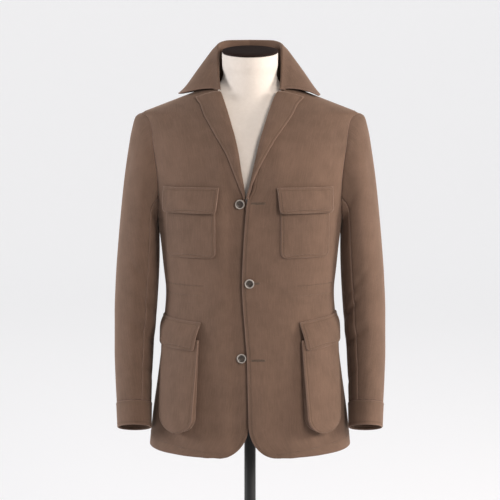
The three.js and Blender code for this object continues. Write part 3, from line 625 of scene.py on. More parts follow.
def bellows_flap(name):
    foot, top, tip = 908, 966, 9.0 if name == "over" else 4.0
    inner = lambda z: 98 + 11 * (top - z) / (top - foot)

    def lift(u, z):
        fall = smooth((top - z) / 36)
        clear = bellows_lift(u, np.minimum(z + tip * u, POCKET_TOP)) + WALL + 1.2
        return mix(LAY, clear, fall) + 1.5 * np.sin(np.pi * fall)

    return Patch(inner, constant(178), foot, top, 5, lift, tip)


def gusset_grid(name):
    """The bellows strip round a pocket's sides and foot, folded inwards in a V."""
    sign = 1 if name == "over" else -1
    down = np.linspace(POCKET_TOP, POCKET_FOOT + POCKET_ROUND, 40)
    bend = POCKET_FOOT + POCKET_ROUND * (1 - np.sin(np.linspace(0, np.pi / 2, 14)))[1:]
    z = np.concatenate([down, bend])
    u = np.linspace(0, 1, 34)[1:-1]
    path_z = np.concatenate([z, POCKET_FOOT + 0 * u, z[::-1]])
    path_u = np.concatenate([0 * z, u, 0 * z + 1])
    side = np.concatenate([-1 + 0 * z, 0 * u, 1 + 0 * z])
    above = path_z - POCKET_FOOT
    low = np.clip(1 - above / POCKET_ROUND, 0, 1) ** 0.8
    share = np.linspace(0, 1, 11)[None, :]
    inward = 5 * (1 - np.abs(2 * share - 1) ** 1.3) + 1 + 0 * path_z[:, None]
    curve = corner(POCKET_ROUND, above)
    a, b = bellows_face().inner(path_z) + curve, POCKET_OUTER - curve
    x = mix(a, b, path_u)[:, None] - side[:, None] * (1 - low[:, None] * 0.6) * inward
    chord = 1.2 * (1 - smooth(above / POCKET_ROUND))
    top = (bellows_lift(path_u, path_z) - 1.2 - chord)[:, None]
    return laid(name, sign * x, path_z[:, None] + inward * low[:, None], mix(LAY, top, share))


form_shape = columns(FORM, "z")


def form_ring(z, turn):
    """Points of the form: the torso, the neck, or the further out of both."""
    z, turn = np.broadcast_arrays(np.asarray(z, float), np.asarray(turn, float))
    low = np.minimum(z, 1464)
    shrink = 1 - 0.35 * smooth((z - 1432) / 40)
    lean = math.tan(math.radians(CAP_TILT)) * smooth((z - 1440) / (NECK_TOP - 1440))
    inset = [form_shape[k](low) for k in ("side", "front", "back")]
    torso = section(low, turn, *inset)
    x, y = torso[..., 0], torso[..., 1] - NECK_Y
    angle = np.arctan2(x, -y)
    a, b = np.hypot(x, y) * shrink, NECK_RADIUS
    reach = 5 * np.logaddexp(a / 5, (b - 3) / 5)
    radius = np.where(z < 1370, a, mix(reach, b, smooth((z - 1458) / 24)))
    y = NECK_Y - radius * np.cos(angle)
    return points(radius * np.sin(angle), y, z + lean * (y - NECK_Y))


# Nodes and materials


def node(tree, kind, inputs=None, **settings):
    """Adds a node with its settings, and links or sets its inputs."""
    made = tree.nodes.new(kind)
    for key, value in settings.items():
        setattr(made, key, value)
    for key, value in (inputs or {}).items():
        if isinstance(value, bpy.types.NodeSocket):
            tree.links.new(value, made.inputs[key])
        else:
            made.inputs[key].default_value = value
    return made


def linear(code):
    """A colour given as sRGB hex, in the linear values that Blender takes."""
    values = [int(code[i : i + 2], 16) / 255 for i in (1, 3, 5)]
    return [v / 12.92 if v <= 0.04045 else ((v + 0.055) / 1.055) ** 2.4 for v in values] + [1]


def blank(name):
    material = bpy.data.materials.new(name)
    material.use_nodes = True
    tree = material.node_tree
    tree.nodes.clear()
    return material, tree


def ramp(tree, factor, low, high):
    return node(
        tree, "ShaderNodeMapRange", {"Value": factor, "From Min": low, "From Max": high}
    ).outputs[0]


def blend(tree, factor, a, b, mode="MIX"):
    made = node(
        tree, "ShaderNodeMix", {"Factor": factor, 6: a, 7: b}, data_type="RGBA", blend_type=mode
    )
    return made.outputs[2]


def maths(tree, operation, a, b=0.0, clamp=False):
    return node(
        tree, "ShaderNodeMath", {0: a, 1: b}, operation=operation, use_clamp=clamp
    ).outputs[0]


def moleskin():
    """Brushed brown cotton moleskin: short nap with soft clouds, and pale edges, partly wear and partly a painted
    highlight.
    """
    material, tree = blank("brown moleskin")
    place = node(tree, "ShaderNodeTexCoord").outputs["Object"]
    flat = node(tree, "ShaderNodeUVMap", uv_map="cloth_mm").outputs[0]
    edge = node(tree, "ShaderNodeAttribute", attribute_name="edge_mm").outputs["Fac"]
    sewn = node(tree, "ShaderNodeAttribute", attribute_name="stitch_mm").outputs["Fac"]

    nap = node(tree, "ShaderNodeMapping", {"Vector": flat, "Scale": (1.5, 0.4, 1)}).outputs[0]
    fibre = node(tree, "ShaderNodeTexNoise", {"Vector": nap, "Scale": 1.3, "Detail": 4.0, "Roughness": 0.7})
    cloud = node(tree, "ShaderNodeTexNoise", {"Vector": place, "Scale": 38.0, "Detail": 4.0, "Roughness": 0.6})
    broad = node(tree, "ShaderNodeTexNoise", {"Vector": place, "Scale": 9.0, "Detail": 2.0})
    streak_map = node(tree, "ShaderNodeMapping", {"Vector": flat, "Scale": (0.5, 0.035, 1)}).outputs[0]
    streak = node(tree, "ShaderNodeTexNoise", {"Vector": streak_map, "Scale": 1.0, "Detail": 3.0})

    colour = blend(tree, ramp(tree, fibre.outputs[0], 0.3, 0.7), linear("#554439"), linear("#6e584b"))
    colour = blend(tree, maths(tree, "MULTIPLY", ramp(tree, cloud.outputs[0], 0.36, 0.66), 0.42),
                   colour, linear("#4e3e33"))
    colour = blend(tree, maths(tree, "MULTIPLY", ramp(tree, broad.outputs[0], 0.35, 0.65), 0.28),
                   colour, linear("#735b4c"))
    colour = blend(tree, maths(tree, "MULTIPLY", ramp(tree, streak.outputs[0], 0.42, 0.7), 0.22),
                   colour, linear("#7d6454"))
    # paler towards the free edges: partly wear, partly a painted highlight on the rolled edges
    wear_and_highlight = maths(tree, "MULTIPLY", maths(tree, "SUBTRACT", 1.0, ramp(tree, edge, 0.2, 2.6)), 0.42)
    colour = blend(tree, wear_and_highlight, colour, linear("#7d665b"))
    off = maths(tree, "DIVIDE", maths(tree, "SUBTRACT", sewn, 6.0), 1.1)
    groove_and_shade = maths(tree, "EXPONENT", maths(tree, "MULTIPLY", maths(tree, "MULTIPLY", off, off), -1.0))
    # darker cloth along the stitch line: painted shade in the stitch groove
    colour = blend(tree, maths(tree, "MULTIPLY", groove_and_shade, 0.22), colour, linear("#463629"))

    height = maths(tree, "MULTIPLY", fibre.outputs[0], 0.20)
    height = maths(tree, "ADD", height, maths(tree, "MULTIPLY", cloud.outputs[0], 0.5))
    fine = node(tree, "ShaderNodeBump", {"Strength": 0.55, "Distance": 0.0006, "Height": height})
    ditch = node(
        tree,
        "ShaderNodeBump",
        {"Strength": 0.6, "Distance": 0.0006, "Height": groove_and_shade, "Normal": fine.outputs[0]},
        invert=True,
    )
    bsdf = node(
        tree,
        "ShaderNodeBsdfPrincipled",
        {
            "Base Color": colour,
            "Roughness": 0.92,
            "Specular IOR Level": 0.18,
            "Sheen Weight": 0.4,
            "Sheen Roughness": 0.4,
            "Sheen Tint": linear("#d0b7a4"),
            "Normal": ditch.outputs[0],
        },
    )
    node(tree, "ShaderNodeOutputMaterial", {"Surface": bsdf.outputs[0]})
    return material


def speckled(
    name, dark, light, scale, rough, bump=0.0, sheen=0.0, metal=0.0, stretch=(1, 1, 1), gloss=0.5
):
    """A material of two tones in noise of a real scale, with its fine relief."""
    material, tree = blank(name)
    place = node(tree, "ShaderNodeTexCoord").outputs["Object"]
    place = node(tree, "ShaderNodeMapping", {"Vector": place, "Scale": stretch}).outputs[0]
    noise = node(tree, "ShaderNodeTexNoise", {"Vector": place, "Scale": scale, "Detail": 5.0, "Roughness": 0.6})
    grain = ramp(tree, noise.outputs[0], 0.35, 0.65)
    relief = node(tree, "ShaderNodeBump", {"Strength": 0.5, "Distance": bump, "Height": noise.outputs[0]})
    bsdf = node(
        tree,
        "ShaderNodeBsdfPrincipled",
        {
            "Base Color": blend(tree, grain, linear(dark), linear(light)),
            "Roughness": maths(tree, "ADD", rough - 0.06, maths(tree, "MULTIPLY", grain, 0.12)),
            "Metallic": metal,
            "Sheen Weight": sheen,
            "Specular IOR Level": gloss,
            "Normal": relief.outputs[0],
        },
    )
    node(tree, "ShaderNodeOutputMaterial", {"Surface": bsdf.outputs[0]})
    return material


def linen():
    """Cream linen cover of the form: plain weave with slubs, at 7 threads a centimetre."""
    material, tree = blank("cream linen")
    place = node(tree, "ShaderNodeTexCoord").outputs["Object"]
    heights = []
    for turn in (0.0, math.pi / 2):
        lain = node(tree, "ShaderNodeMapping", {"Vector": place, "Rotation": (0, turn, 0)}).outputs[0]
        heights.append(
            node(
                tree,
                "ShaderNodeTexWave",
                {"Vector": lain, "Scale": 220.0, "Distortion": 1.5, "Detail": 2.0},
                bands_direction="X",
            ).outputs["Fac"]
        )
    weave = maths(tree, "MAXIMUM", *heights)
    slub = node(tree, "ShaderNodeTexNoise", {"Vector": place, "Scale": 160.0, "Detail": 3.0})
    tone = maths(tree, "MULTIPLY", maths(tree, "ADD", weave, slub.outputs[0]), 0.5)
    relief = node(tree, "ShaderNodeBump", {"Strength": 0.35, "Distance": 0.0004, "Height": tone})
    bsdf = node(
        tree,
        "ShaderNodeBsdfPrincipled",
        {
            "Base Color": blend(tree, tone, linear("#c8beb3"), linear("#dcd4cb")),
            "Roughness": 0.9,
            "Sheen Weight": 0.15,
            "Normal": relief.outputs[0],
        },
    )
    node(tree, "ShaderNodeOutputMaterial", {"Surface": bsdf.outputs[0]})
    return material


CLOTH = moleskin()
LINEN = linen()
# Brown cotton topstitching thread, a shade darker than the cloth
THREAD = speckled("brown cotton thread", "#4b3a2e", "#63503f", 2500, 0.8, 0.0002, 0.2)
# Dark horn of the buttons, streaked along x, and its turned rim painted pale as a reflection
HORN = speckled("dark horn", "#1d1814", "#3f362e", 180, 0.38, 0.00008, stretch=(1, 1, 4))
HORN_RIM_REFLECTION = speckled("horn with painted rim reflection", "#7b756e", "#a39c94", 260, 0.34, 0.00006)
# Near-black discs standing for the buttons' holes: painted shade, as the holes aren't bored
HOLE_SHADE = speckled("painted shade of the holes", "#120d0a", "#241b14", 500, 0.7, 0.00005)
# Dark stained wood of the neck cap
CAP_WOOD = speckled("dark stained wood", "#1c1412", "#2e2421", 60, 0.85, 0.0003, stretch=(1, 8, 8), gloss=0.03)
# Black powder coat on the steel pole and base
POWDER = speckled("black powder coat", "#0d0d0e", "#1a1a1b", 900, 0.5, 0.00015, metal=0.2)


def studio_paper():
    """Matt pale paper that glows by itself, as painted light, more so at the back of the studio."""
    material, tree = blank("matt studio paper")
    place = node(tree, "ShaderNodeTexCoord").outputs["Object"]
    depth = node(tree, "ShaderNodeSeparateXYZ", {"Vector": place}).outputs[1]
    # painted light: the paper's own glow, weaker in front and stronger behind
    glow = node(
        tree,
        "ShaderNodeMapRange",
        {"Value": depth, "From Min": -4.0, "From Max": 5.0, "To Min": 0.12, "To Max": 0.51},
        interpolation_type="SMOOTHSTEP",
    )
    bsdf = node(
        tree,
        "ShaderNodeBsdfPrincipled",
        {
            "Base Color": linear("#bfbfc1"),
            "Roughness": 0.95,
            "Specular IOR Level": 0.0,
            "Emission Color": linear("#ffffff"),
            "Emission Strength": glow.outputs[0],
        },
    )
    node(tree, "ShaderNodeOutputMaterial", {"Surface": bsdf.outputs[0]})
    return material


PAPER = studio_paper()

# Mesh making


def normals(grid, sign, around=False):
    if around:
        du = np.roll(grid, -1, axis=1) - np.roll(grid, 1, axis=1)
    else:
        du = np.gradient(grid, axis=1)
    return unit(np.cross(du, np.gradient(grid, axis=0))) * sign


def made(name, verts, faces, material, slot, replaces, uv=None, values=None):
    """A smooth-shaded object at the origin, its points in metres, that rides on the root."""
    mesh = bpy.data.meshes.new(name)
    mesh.from_pydata((np.asarray(verts) / 1000).tolist(), [], faces)
    mesh.validate()
    mesh.polygons.foreach_set("use_smooth", [True] * len(mesh.polygons))
    for material in material if isinstance(material, list) else [material]:
        mesh.materials.append(material)
    if uv is not None:
        layer = mesh.uv_layers.new(name="cloth_mm")
        corners = np.zeros(len(mesh.loops), int)
        mesh.loops.foreach_get("vertex_index", corners)
        layer.data.foreach_set("uv", np.asarray(uv, np.float32)[corners].ravel())
    for key, value in (values or {}).items():
        mesh.attributes.new(key, "FLOAT", "POINT").data.foreach_set("value", np.float32(value))
    piece = bpy.data.objects.new(name, mesh)
    bpy.context.collection.objects.link(piece)
    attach(piece, "root")
    if replaces:
        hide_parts(*replaces)
    return piece


def quads(rows, cols, start, around=False, flip=False):
    r, c = np.meshgrid(np.arange(rows - 1), np.arange(cols if around else cols - 1), indexing="ij")
    a = start + r * cols + c
    b = start + r * cols + (c + 1) % cols
    out = np.stack([a, b, b + cols, a + cols], axis=-1).reshape(-1, 4)
    return out[:, ::-1] if flip else out


def shell(
    name, grid, sign, thick=WALL, around=False, stitched="", outside=0.0,
    hem=0.0, rows_sewn=None,
):
    """A cloth wall inward from a grid of outside points, with soft edges.

    stitched names the sides with a line of topstitching: l and r for the first and last
    column, b and t for the first and last row. Its flat size is that of its outside,
    measured along the cloth.
    """
    rows, cols = grid.shape[:2]
    n = normals(grid, sign, around)
    thin = np.zeros((rows, cols, 1))
    thin[[0, -1]] = 1
    if not around:
        thin[:, [0, -1]] = 1
    outer = grid + n * (outside - SOFT * thick * thin)
    inner = grid + n * (outside - thick + SOFT * thick * thin)
    step_u = walk(grid, 1)
    step_v = walk(grid)
    sides = {"l": step_u, "r": step_u[:, -1:] - step_u, "b": step_v - hem, "t": step_v[-1:] - step_v}
    free = "bt" if around else "lrbt"
    edge = np.minimum.reduce([sides[k] for k in free])
    stitch = np.minimum.reduce([sides[k] for k in stitched] + [0 * edge + 99])
    if rows_sewn is not None:
        stitch = np.minimum(stitch, rows_sewn)
    size = rows * cols
    faces = [quads(rows, cols, 0, around), quads(rows, cols, size, around, True)]
    rims = [np.arange(cols), np.arange(size - cols, size)[::-1]]
    if not around:
        rims += [np.arange(0, size, cols)[::-1], np.arange(cols - 1, size, cols)]
    for rim in rims:
        a, b = rim[:-1], rim[1:]
        faces.append(np.stack([b, a, a + size, b + size], axis=-1))
        if around:
            end = np.array([[rim[0], rim[-1], rim[-1] + size, rim[0] + size]])
            faces.append(end)
    faces = np.concatenate(faces)
    if sign < 0:
        faces = faces[:, ::-1]
    uv = np.stack([step_u, step_v], axis=-1).reshape(-1, 2)
    verts = np.concatenate([outer.reshape(-1, 3), inner.reshape(-1, 3)])
    values = {"edge_mm": np.tile(edge.ravel(), 2), "stitch_mm": np.tile(stitch.ravel(), 2)}
    piece = made(name + "_cloth", verts, faces.tolist(), CLOTH, "cloth", [name], np.tile(uv, (2, 1)), values)
    return piece


def turned(name, outline, count, material, slot, replaces, seat, axis):
    """A turned piece: an outline of (radius, height) about an axis from a seat, in mm."""
    frame_of = Vector(axis).to_track_quat("Z", "Y").to_matrix()
    turn = np.array([list(row) for row in frame_of])
    angle = np.linspace(0, 2 * np.pi, count, endpoint=False)
    profile = np.array(outline, float)
    flat = np.stack(
        [
            profile[:, 0:1] * np.cos(angle),
            profile[:, 0:1] * np.sin(angle),
            profile[:, 1:2] + 0 * angle,
        ],
        axis=-1,
    )
    verts = flat.reshape(-1, 3) @ turn.T + np.asarray(seat)
    faces = quads(len(profile), count, 0, True).tolist()
    faces.append(list(range(count))[::-1])
    faces.append(list(range((len(profile) - 1) * count, len(profile) * count)))
    return made(name, verts, faces, material, slot, replaces)

# The cloth pieces

SIDES = (("under", "right", -1), ("over", "left", 1))


def casing(grid, start=0.0):
    """Distance to the casing's rows, from the edge stitch's distance up, outward of start."""
    away = np.min([np.abs(grid[..., 2] - z) for z in CASING], axis=0) + EDGE_STITCH
    return np.where(np.abs(grid[..., 0]) < start, 99.0, away)


form_levels = np.concatenate([mix(794, 1340, across(60, 320)), mix(1345, 1504, across(56, 90))])
turns = np.linspace(0, 360, 120, endpoint=False)[None, :]
foot = [(782.0, 0.86), (782.6, 0.93), (784.5, 0.97), (788, 0.99)]
foot = [form_ring(z, turns)[0] * (size, size, 1) for z, size in foot]
rings = np.concatenate([np.array(foot), form_ring(form_levels[:, None], turns)])
size = rings.shape[0] * 120
faces = quads(rings.shape[0], 120, 0, True).tolist() + [list(range(120))[::-1], list(range(size - 120, size))]
made("form", rings.reshape(-1, 3), faces, LINEN, "linen", ["form_body"])

neck_ring, middle = form_ring(NECK_TOP, turns)[0], np.array([0, NECK_Y, NECK_TOP])
outline = [(0.955, 0.3), (0.985, 0.7), (1.003, 1.5), (1.01, 2.4), (1.008, 3.6), (0.99, 4.8), (0.96, 5.5), (0.6, 6.0), (0.2, 6.2)]
rings = np.array([(neck_ring - middle) * grow + middle + (0, -0.19 * up, up) for grow, up in outline])
size = len(outline) * 120
faces = quads(len(outline), 120, 0, True).tolist() + [list(range(120))[::-1], list(range(size - 120, size))]
made("neck_cap", rings.reshape(-1, 3), faces, CAP_WOOD, "cap", ["form_cap"])

tube = [(10.6, 42.3), (11.6, 42.6), (12, 43.4), (12, 780.6), (11.6, 781.4), (10.6, 781.7)]
turned("pole", tube, 64, POWDER, "metal", ["stand_pole"], (0, 0, 0), (0, 0, 1))
plate = [(0.5, 0), (168.5, 0), (169.5, 0.5), (170, 1.5), (170, 5.2), (169.2, 7), (167, 8), (34, 9.8)]
plate += [(30.5, 10.4), (29.2, 12), (24.8, 39), (23.8, 41.2), (22, 42), (0.5, 42)]
turned("base", plate, 128, POWDER, "metal", ["stand_base"], (0, 0, 0), (0, 0, 1))

shell("back", back_grid(), 1, stitched="b", hem=HEM_DEPTH - EDGE_STITCH, rows_sewn=casing(back_grid()))
for front, wearer, side in SIDES:
    grid, sign = front_grid(front)
    hem_row = np.abs(walk(grid) - HEM_DEPTH) + EDGE_STITCH
    rows_sewn = np.minimum(casing(grid, CASING_START), hem_row)
    shell("front_" + wearer, grid, sign, stitched="l", rows_sewn=rows_sewn)
    grid, sign = lapel_grid(front)
    shell("lapel_" + wearer, grid, -sign, outside=1.0, stitched="r")

    top = np.concatenate([np.linspace(REAR_SEAM, 0, 28), np.linspace(0, FORE_SEAM, 36)[1:]])
    under = np.linspace(FORE_SEAM, REAR_SEAM + 360, 38)
    reach = mix(SLEEVE_START, SLEEVE_END, across(128, 600))[:, None]
    for part, turns in (("top", top), ("under", under)):
        turns = turns.copy()
        turns[[0, -1]] += [0.12, -0.12]
        fade = smooth((reach - SLEEVE_START) / 0.05) * smooth((SLEEVE_END - reach) / 0.04)
        grid = sleeve_points(reach, turns[None, :], side, 0.25 + 0.75 * fade)
        shell(f"sleeve_{part}_{wearer}", grid, side)
    t = mix(*CUFF_SPAN, across(16, 50))[:, None]
    turns = np.linspace(0, 360, 96, endpoint=False)[None, :]
    grid = sleeve_points(t, turns, side, 0.25)
    shell("cuff_" + wearer, grid, side, 3, True, "t", outside=1.2)

    patch, flap = chest_pieces(front)
    shell("chest_pocket_" + wearer, patch.grid(front, 24, 24), side, stitched="lrb")
    shell("chest_flap_" + wearer, flap.grid(front, 26, 14), side, stitched="lrbt")
    face, cover = bellows_face(), bellows_flap(front)
    shell("pocket_face_" + wearer, face.grid(front, 26, 40), side, stitched="lr")
    shell("pocket_flap_" + wearer, cover.grid(front, 26, 16), side, stitched="lrbt")
    shell("pocket_gusset_" + wearer, gusset_grid(front), -1, 1.6)

collar = collar_grid()
shell("collar", collar, 1, 2.4, stitched="lrt", outside=1.2)

# Topstitching: a run of stitches along lines that lie on the cloth


def stitch_nodes():
    """Geometry nodes that lay stitches of one size, evenly apart, along lines of points."""
    tree = bpy.data.node_groups.new("stitch run", "GeometryNodeTree")
    sockets = [("Lines", "INPUT", "NodeSocketGeometry", None)]
    sockets += [("Pitch", "INPUT", "NodeSocketFloat", 0.0029), ("Length", "INPUT", "NodeSocketFloat", 0.0022)]
    sockets += [("Radius", "INPUT", "NodeSocketFloat", 0.0003), ("Across", "INPUT", "NodeSocketFloat", 0.0)]
    sockets += [("Thread", "INPUT", "NodeSocketMaterial", None), ("Stitches", "OUTPUT", "NodeSocketGeometry", None)]
    for name, way, kind, value in sockets:
        made = tree.interface.new_socket(name, in_out=way, socket_type=kind)
        if value is not None:
            made.default_value = value
    given = node(tree, "NodeGroupInput").outputs
    curve = node(tree, "GeometryNodeMeshToCurve", {"Mesh": given["Lines"]}).outputs[0]
    even = node(tree, "GeometryNodeResampleCurve", {"Curve": curve, "Length": given["Pitch"]}, mode="LENGTH")
    outward = node(tree, "GeometryNodeInputNamedAttribute", {"Name": "outward"}, data_type="FLOAT_VECTOR")
    along = node(tree, "GeometryNodeInputTangent").outputs[0]
    turn = node(tree, "FunctionNodeAlignRotationToVector", {"Vector": along}, axis="Z")
    turn = node(
        tree,
        "FunctionNodeAlignRotationToVector",
        {"Rotation": turn.outputs[0], "Vector": outward.outputs[0]},
        axis="X",
        pivot_axis="Z",
    )
    cross = node(tree, "FunctionNodeAxisAngleToRotation", {"Axis": (1, 0, 0), "Angle": given["Across"]})
    loose = node(
        tree, "FunctionNodeRandomValue", {0: (-0.05, -0.05, -0.05), 1: (0.05, 0.05, 0.05), "Seed": 7},
        data_type="FLOAT_VECTOR",
    )
    loose = node(tree, "FunctionNodeEulerToRotation", {"Euler": loose.outputs[0]})
    turn = node(tree, "FunctionNodeRotateRotation", {0: turn.outputs[0], 1: cross.outputs[0]}, rotation_space="LOCAL")
    turn = node(tree, "FunctionNodeRotateRotation", {0: turn.outputs[0], 1: loose.outputs[0]}, rotation_space="LOCAL")
    ball = node(tree, "GeometryNodeMeshUVSphere", {"Segments": 6, "Rings": 4, "Radius": 1.0}).outputs[0]
    half = maths(tree, "MULTIPLY", given["Length"], 0.5)
    size = node(tree, "ShaderNodeCombineXYZ", {"X": given["Radius"], "Y": given["Radius"], "Z": half}).outputs[0]
    laid_out = node(
        tree,
        "GeometryNodeInstanceOnPoints",
        {"Points": even.outputs[0], "Instance": ball, "Rotation": turn.outputs[0], "Scale": size},
    )
    real = node(tree, "GeometryNodeRealizeInstances", {"Geometry": laid_out.outputs[0]}).outputs[0]
    smoothed = node(tree, "GeometryNodeSetShadeSmooth", {0: real}).outputs[0]
    dyed = node(tree, "GeometryNodeSetMaterial", {"Geometry": smoothed, "Material": given["Thread"]})
    node(tree, "NodeGroupOutput", {"Stitches": dyed.outputs[0]})
    return tree


STITCHES = stitch_nodes()


def sewn(name, lines, **sizes):
    """One mesh of stitches along (points, outward) lines, given in millimetres."""
    verts, outs, edges = [], [], []
    for line, out in lines:
        start = len(verts)
        verts += (line / 1000).tolist()
        outs += unit(out).tolist()
        edges += [(i, i + 1) for i in range(start, len(verts) - 1)]
    mesh = bpy.data.meshes.new(name + "_lines")
    mesh.from_pydata(verts, edges, [])
    mesh.attributes.new("outward", "FLOAT_VECTOR", "POINT").data.foreach_set("vector", np.float32(outs).ravel())
    source = bpy.data.objects.new(name + "_lines", mesh)
    bpy.context.collection.objects.link(source)
    run = source.modifiers.new("stitches", "NODES")
    run.node_group = STITCHES
    for item in STITCHES.interface.items_tree:
        if item.in_out == "INPUT" and item.name in sizes:
            run[item.identifier] = sizes[item.name]
        elif item.in_out == "INPUT" and item.name == "Thread":
            run[item.identifier] = THREAD
    graph = bpy.context.evaluated_depsgraph_get()
    plain = bpy.data.meshes.new_from_object(source.evaluated_get(graph))
    plain.materials.clear()
    plain.materials.append(THREAD)
    bpy.data.objects.remove(source)
    piece = bpy.data.objects.new(name, plain)
    bpy.context.collection.objects.link(piece)
    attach(piece, "root")
    return piece


def inset_line(grid, sign, side, inset, outside=0.0, keep=slice(None)):
    """A line on a grid's outside, inset from its first (l) or last (r) column or row (b, t)."""
    out = normals(grid, sign)
    if side in "lr":
        grid, out = np.swapaxes(grid, 0, 1), np.swapaxes(out, 0, 1)
    if side in "rt":
        grid, out = grid[::-1], out[::-1]
    reach = walk(grid)
    above = np.clip((reach < inset).sum(axis=0), 1, len(grid) - 1)
    every = np.arange(grid.shape[1])
    a, b = reach[above - 1, every], reach[above, every]
    share = ((inset - a) / (b - a))[:, None]
    line = mix(grid[above - 1, every], grid[above, every], share)
    up = mix(out[above - 1, every], out[above, every], share)
    return (line + up * (outside + STITCH_LIFT))[keep], up[keep]


def level_line(name, z, x0, x1, count=60):
    x = np.linspace(x0, x1, count)
    on, above = (laid(name, x, 0 * x + z, 0 * x + STITCH_LIFT + h) for h in (0, 1))
    return on, above - on


lines = []
for front, wearer, side in SIDES:
    grid, sign = front_grid(front)
    low = grid[:, 0, 2] < BREAK - 4
    lines.append(inset_line(grid, sign, "l", EDGE_STITCH, keep=low))
    lines.append(inset_line(grid, sign, "b", HEM_DEPTH, keep=slice(4, -2)))
    grid, sign = lapel_grid(front)
    lines.append(inset_line(grid, -sign, "r", EDGE_STITCH, 1.0, slice(4, -3)))
    lines.append(inset_line(grid, -sign, "t", EDGE_STITCH, 1.0, slice(18, -2)))
    patch, flap = chest_pieces(front)
    face, cover = bellows_face(), bellows_flap(front)
    for piece, insets, top in ((patch, (1.6, 7), False), (flap, (1.6, 7), True), (cover, (1.6, 7), True), (face, (2,), False)):
        lines += [piece.seam_line(front, inset, top) for inset in insets]
    for z in CASING:
        lines.append(level_line(front, z, side * CASING_START, side * CASING_END))
    t = mix(*CUFF_SPAN, across(16, 50))[:, None]
    ring_grid = sleeve_points(t, np.linspace(0, 360, 97)[None, :], side, 0.25)
    lines.append(inset_line(ring_grid, side, "b", 4, 1.2))
whole_back = back_grid()
lines.append(inset_line(whole_back, 1, "b", HEM_DEPTH, keep=slice(2, -2)))
for z in CASING:
    row = int(np.argmin(np.abs(whole_back[:, 10, 2] - z)))
    out = normals(whole_back, 1)
    lines.append((whole_back[row, 2:-2] + out[row, 2:-2] * STITCH_LIFT, out[row, 2:-2]))
lines.append(inset_line(collar, 1, "r", EDGE_STITCH, 1.2, slice(2, -2)))
for side in "bt":
    lines.append(inset_line(collar, 1, side, EDGE_STITCH, 1.2, slice(24, -3)))
sewn("topstitching", lines)


def buttonhole(x0, x1, z):
    """The purl round a buttonhole on the over front: a long loop about its slit."""
    turn = np.linspace(0.5, 1.5, 9) * np.pi
    ends = [(x0 + 1.1 * np.cos(turn), z + 1.1 * np.sin(turn)), (x1 - 1.1 * np.cos(turn), z - 1.1 * np.sin(turn))]
    x = np.concatenate([ends[0][0], np.linspace(x0, x1, 12)[1:-1], ends[1][0], np.linspace(x1, x0, 12)[1:-1]])
    level = np.concatenate([ends[0][1], 0 * x[:10] + z - 1.1, ends[1][1], 0 * x[:10] + z + 1.1])
    on, above = (laid("over", x, level, 0 * x + h) for h in (0.1, 1.1))
    return np.vstack([on, on[:1]]), np.vstack([above - on, (above - on)[:1]])


holes = [buttonhole(4, 29, 1207), buttonhole(-6, 18, 1046), buttonhole(4, 29, 892)]
sewn("buttonholes", holes, Pitch=0.0008, Length=0.0024, Radius=0.00042, Across=math.pi / 2)

# Buttons: a turned rim painted pale as its reflection, a dark dished face, four holes painted as near-black discs of
# shade, and their thread

BUTTONS = (("top", "under", -20, 1205), ("middle", "over", -1, 1046), ("low", "under", -17, 895))
SHANK = 2.2
rim = [(8.6, 0), (9.1, 0.2), (9.45, 0.7), (9.5, 1.6), (9.4, 2.5), (9.0, 3.05), (8.5, 3.2)]
rim += [(7.9, 3.15), (7.3, 2.9), (7.0, 2.3), (7.0, 1.2), (7.0, 0.4)]
dish = [(0.3, 0.3), (6.6, 0.3), (6.9, 0.6), (6.9, 2.55), (6.5, 2.62), (6.0, 2.5), (5.4, 2.15), (4.5, 1.85), (3.2, 1.72), (0.3, 1.7)]
stem = [(0.2, -SHANK), (1.9, -SHANK), (1.7, -1.4), (1.75, -0.5), (1.9, 0.2), (0.2, 0.2)]
for name, front, x, z in BUTTONS:
    foot, above = laid(front, np.array([x, x]), np.array([z, z]), np.array([0.0, 1.0]))
    axis = above - foot
    seat = foot + axis * (LAY + SHANK)
    # the rim's pale colour is a painted reflection
    turned(f"button_{name}_rim", rim, 64, HORN_RIM_REFLECTION, "horn", ["button_" + name], seat, axis)
    turned(f"button_{name}_dish", dish, 64, HORN, "horn", [], seat, axis)
    turned(f"button_{name}_stem", stem, 20, THREAD, "horn", [], seat, axis)
    right = unit(np.cross((0, 0, 1), axis))
    up = np.cross(axis, right)
    for k, (a, b) in enumerate(((1, 1), (-1, 1), (1, -1), (-1, -1))):
        # each hole is a near-black disc on the dish: painted shade, not a bore
        hole = seat + (right * a + up * b) * 1.25
        turned(f"button_{name}_hole_shade_{k}", [(0.1, 1.2), (0.62, 1.2), (0.66, 1.66), (0.58, 1.76), (0.1, 1.74)], 16, HOLE_SHADE, "horn", [], hole, axis)
    ends = [seat + (right * a + up) * 1.25 + axis * 1.85 for a in (-1, 1)]
    low_ends = [seat + (right * a - up) * 1.25 + axis * 1.85 for a in (-1, 1)]
    runs = [(mix(p, q, np.linspace(0, 1, 6)[:, None]), np.tile(axis, (6, 1))) for p, q in (ends, low_ends)]
    sewn(f"button_{name}_thread", runs, Pitch=0.0004, Length=0.0012, Radius=0.00034)

# Floor, light and camera: the floor curves up all round, and is open above

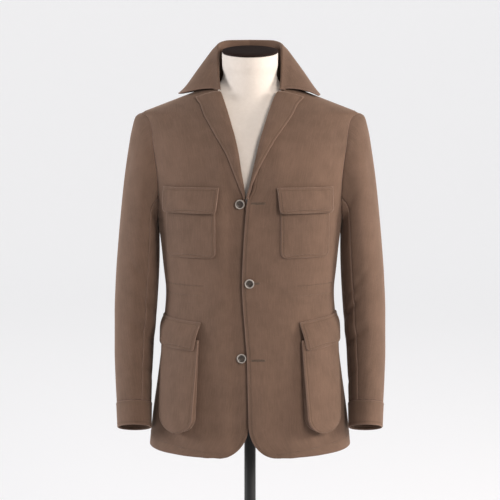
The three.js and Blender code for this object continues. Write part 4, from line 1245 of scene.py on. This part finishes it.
turn = np.linspace(0, 2 * np.pi, 96, endpoint=False)
rise = np.linspace(0, np.pi / 2, 16)
reach = np.concatenate([[0.5, 4000, 7000], 8000 + 3500 * np.sin(rise), [11500, 11500]])
height = np.concatenate([[0, 0, 0], 3500 * (1 - np.cos(rise)), [5200, 7000]])
bowl = np.stack(
    [reach[:, None] * np.cos(turn), reach[:, None] * np.sin(turn), height[:, None] + 0 * turn],
    axis=-1,
)
mesh = bpy.data.meshes.new("floor")
faces = quads(len(reach), 96, 0, True).tolist() + [list(range(96))]
mesh.from_pydata((bowl.reshape(-1, 3) / 1000).tolist(), [], faces)
mesh.polygons.foreach_set("use_smooth", [True] * len(mesh.polygons))
mesh.materials.append(PAPER)
floor = bpy.data.objects.new("floor", mesh)
bpy.context.collection.objects.link(floor)


def soft_light(name, place, aim, width, power, code):
    lamp = bpy.data.lights.new(name, "AREA")
    lamp.shape, lamp.size, lamp.energy = "DISK", width, power
    lamp.color = linear(code)[:3]
    thing = bpy.data.objects.new(name, lamp)
    thing.location = place
    thing.rotation_euler = (Vector(aim) - Vector(place)).to_track_quat("-Z", "Y").to_euler()
    bpy.context.collection.objects.link(thing)


soft_light("key", (1.9, -2.9, 2.4), (0, 0, 1.1), 1.3, 84, "#fff5ee")
soft_light("right side", (3.4, -0.5, 1.9), (0, 0, 1.1), 1.2, 118, "#fff6ee")
soft_light("left side", (-3.4, -0.3, 1.8), (0, 0, 1.1), 1.2, 96, "#f8f7fa")
soft_light("back", (0.8, 2.6, 3.6), (0, 0, 1.2), 1.6, 14, "#ffffff")
world = bpy.data.worlds.new("studio")
world.use_nodes = True
world.node_tree.nodes["Background"].inputs["Color"].default_value = linear("#f4f4f6")
world.node_tree.nodes["Background"].inputs["Strength"].default_value = 0.5
bpy.context.scene.world = world
bpy.context.scene.view_settings.view_transform = "Standard"

eye = Vector((0, -3.0, 1.45))
camera = bpy.data.objects.new("camera", bpy.data.cameras.new("camera"))
camera.data.lens, camera.data.sensor_width = 105.0, 36
camera.location = eye
camera.rotation_euler = (Vector((0, 0, 1.099)) - eye).to_track_quat("-Z", "Y").to_euler()
bpy.context.collection.objects.link(camera)
bpy.context.scene.camera = camera
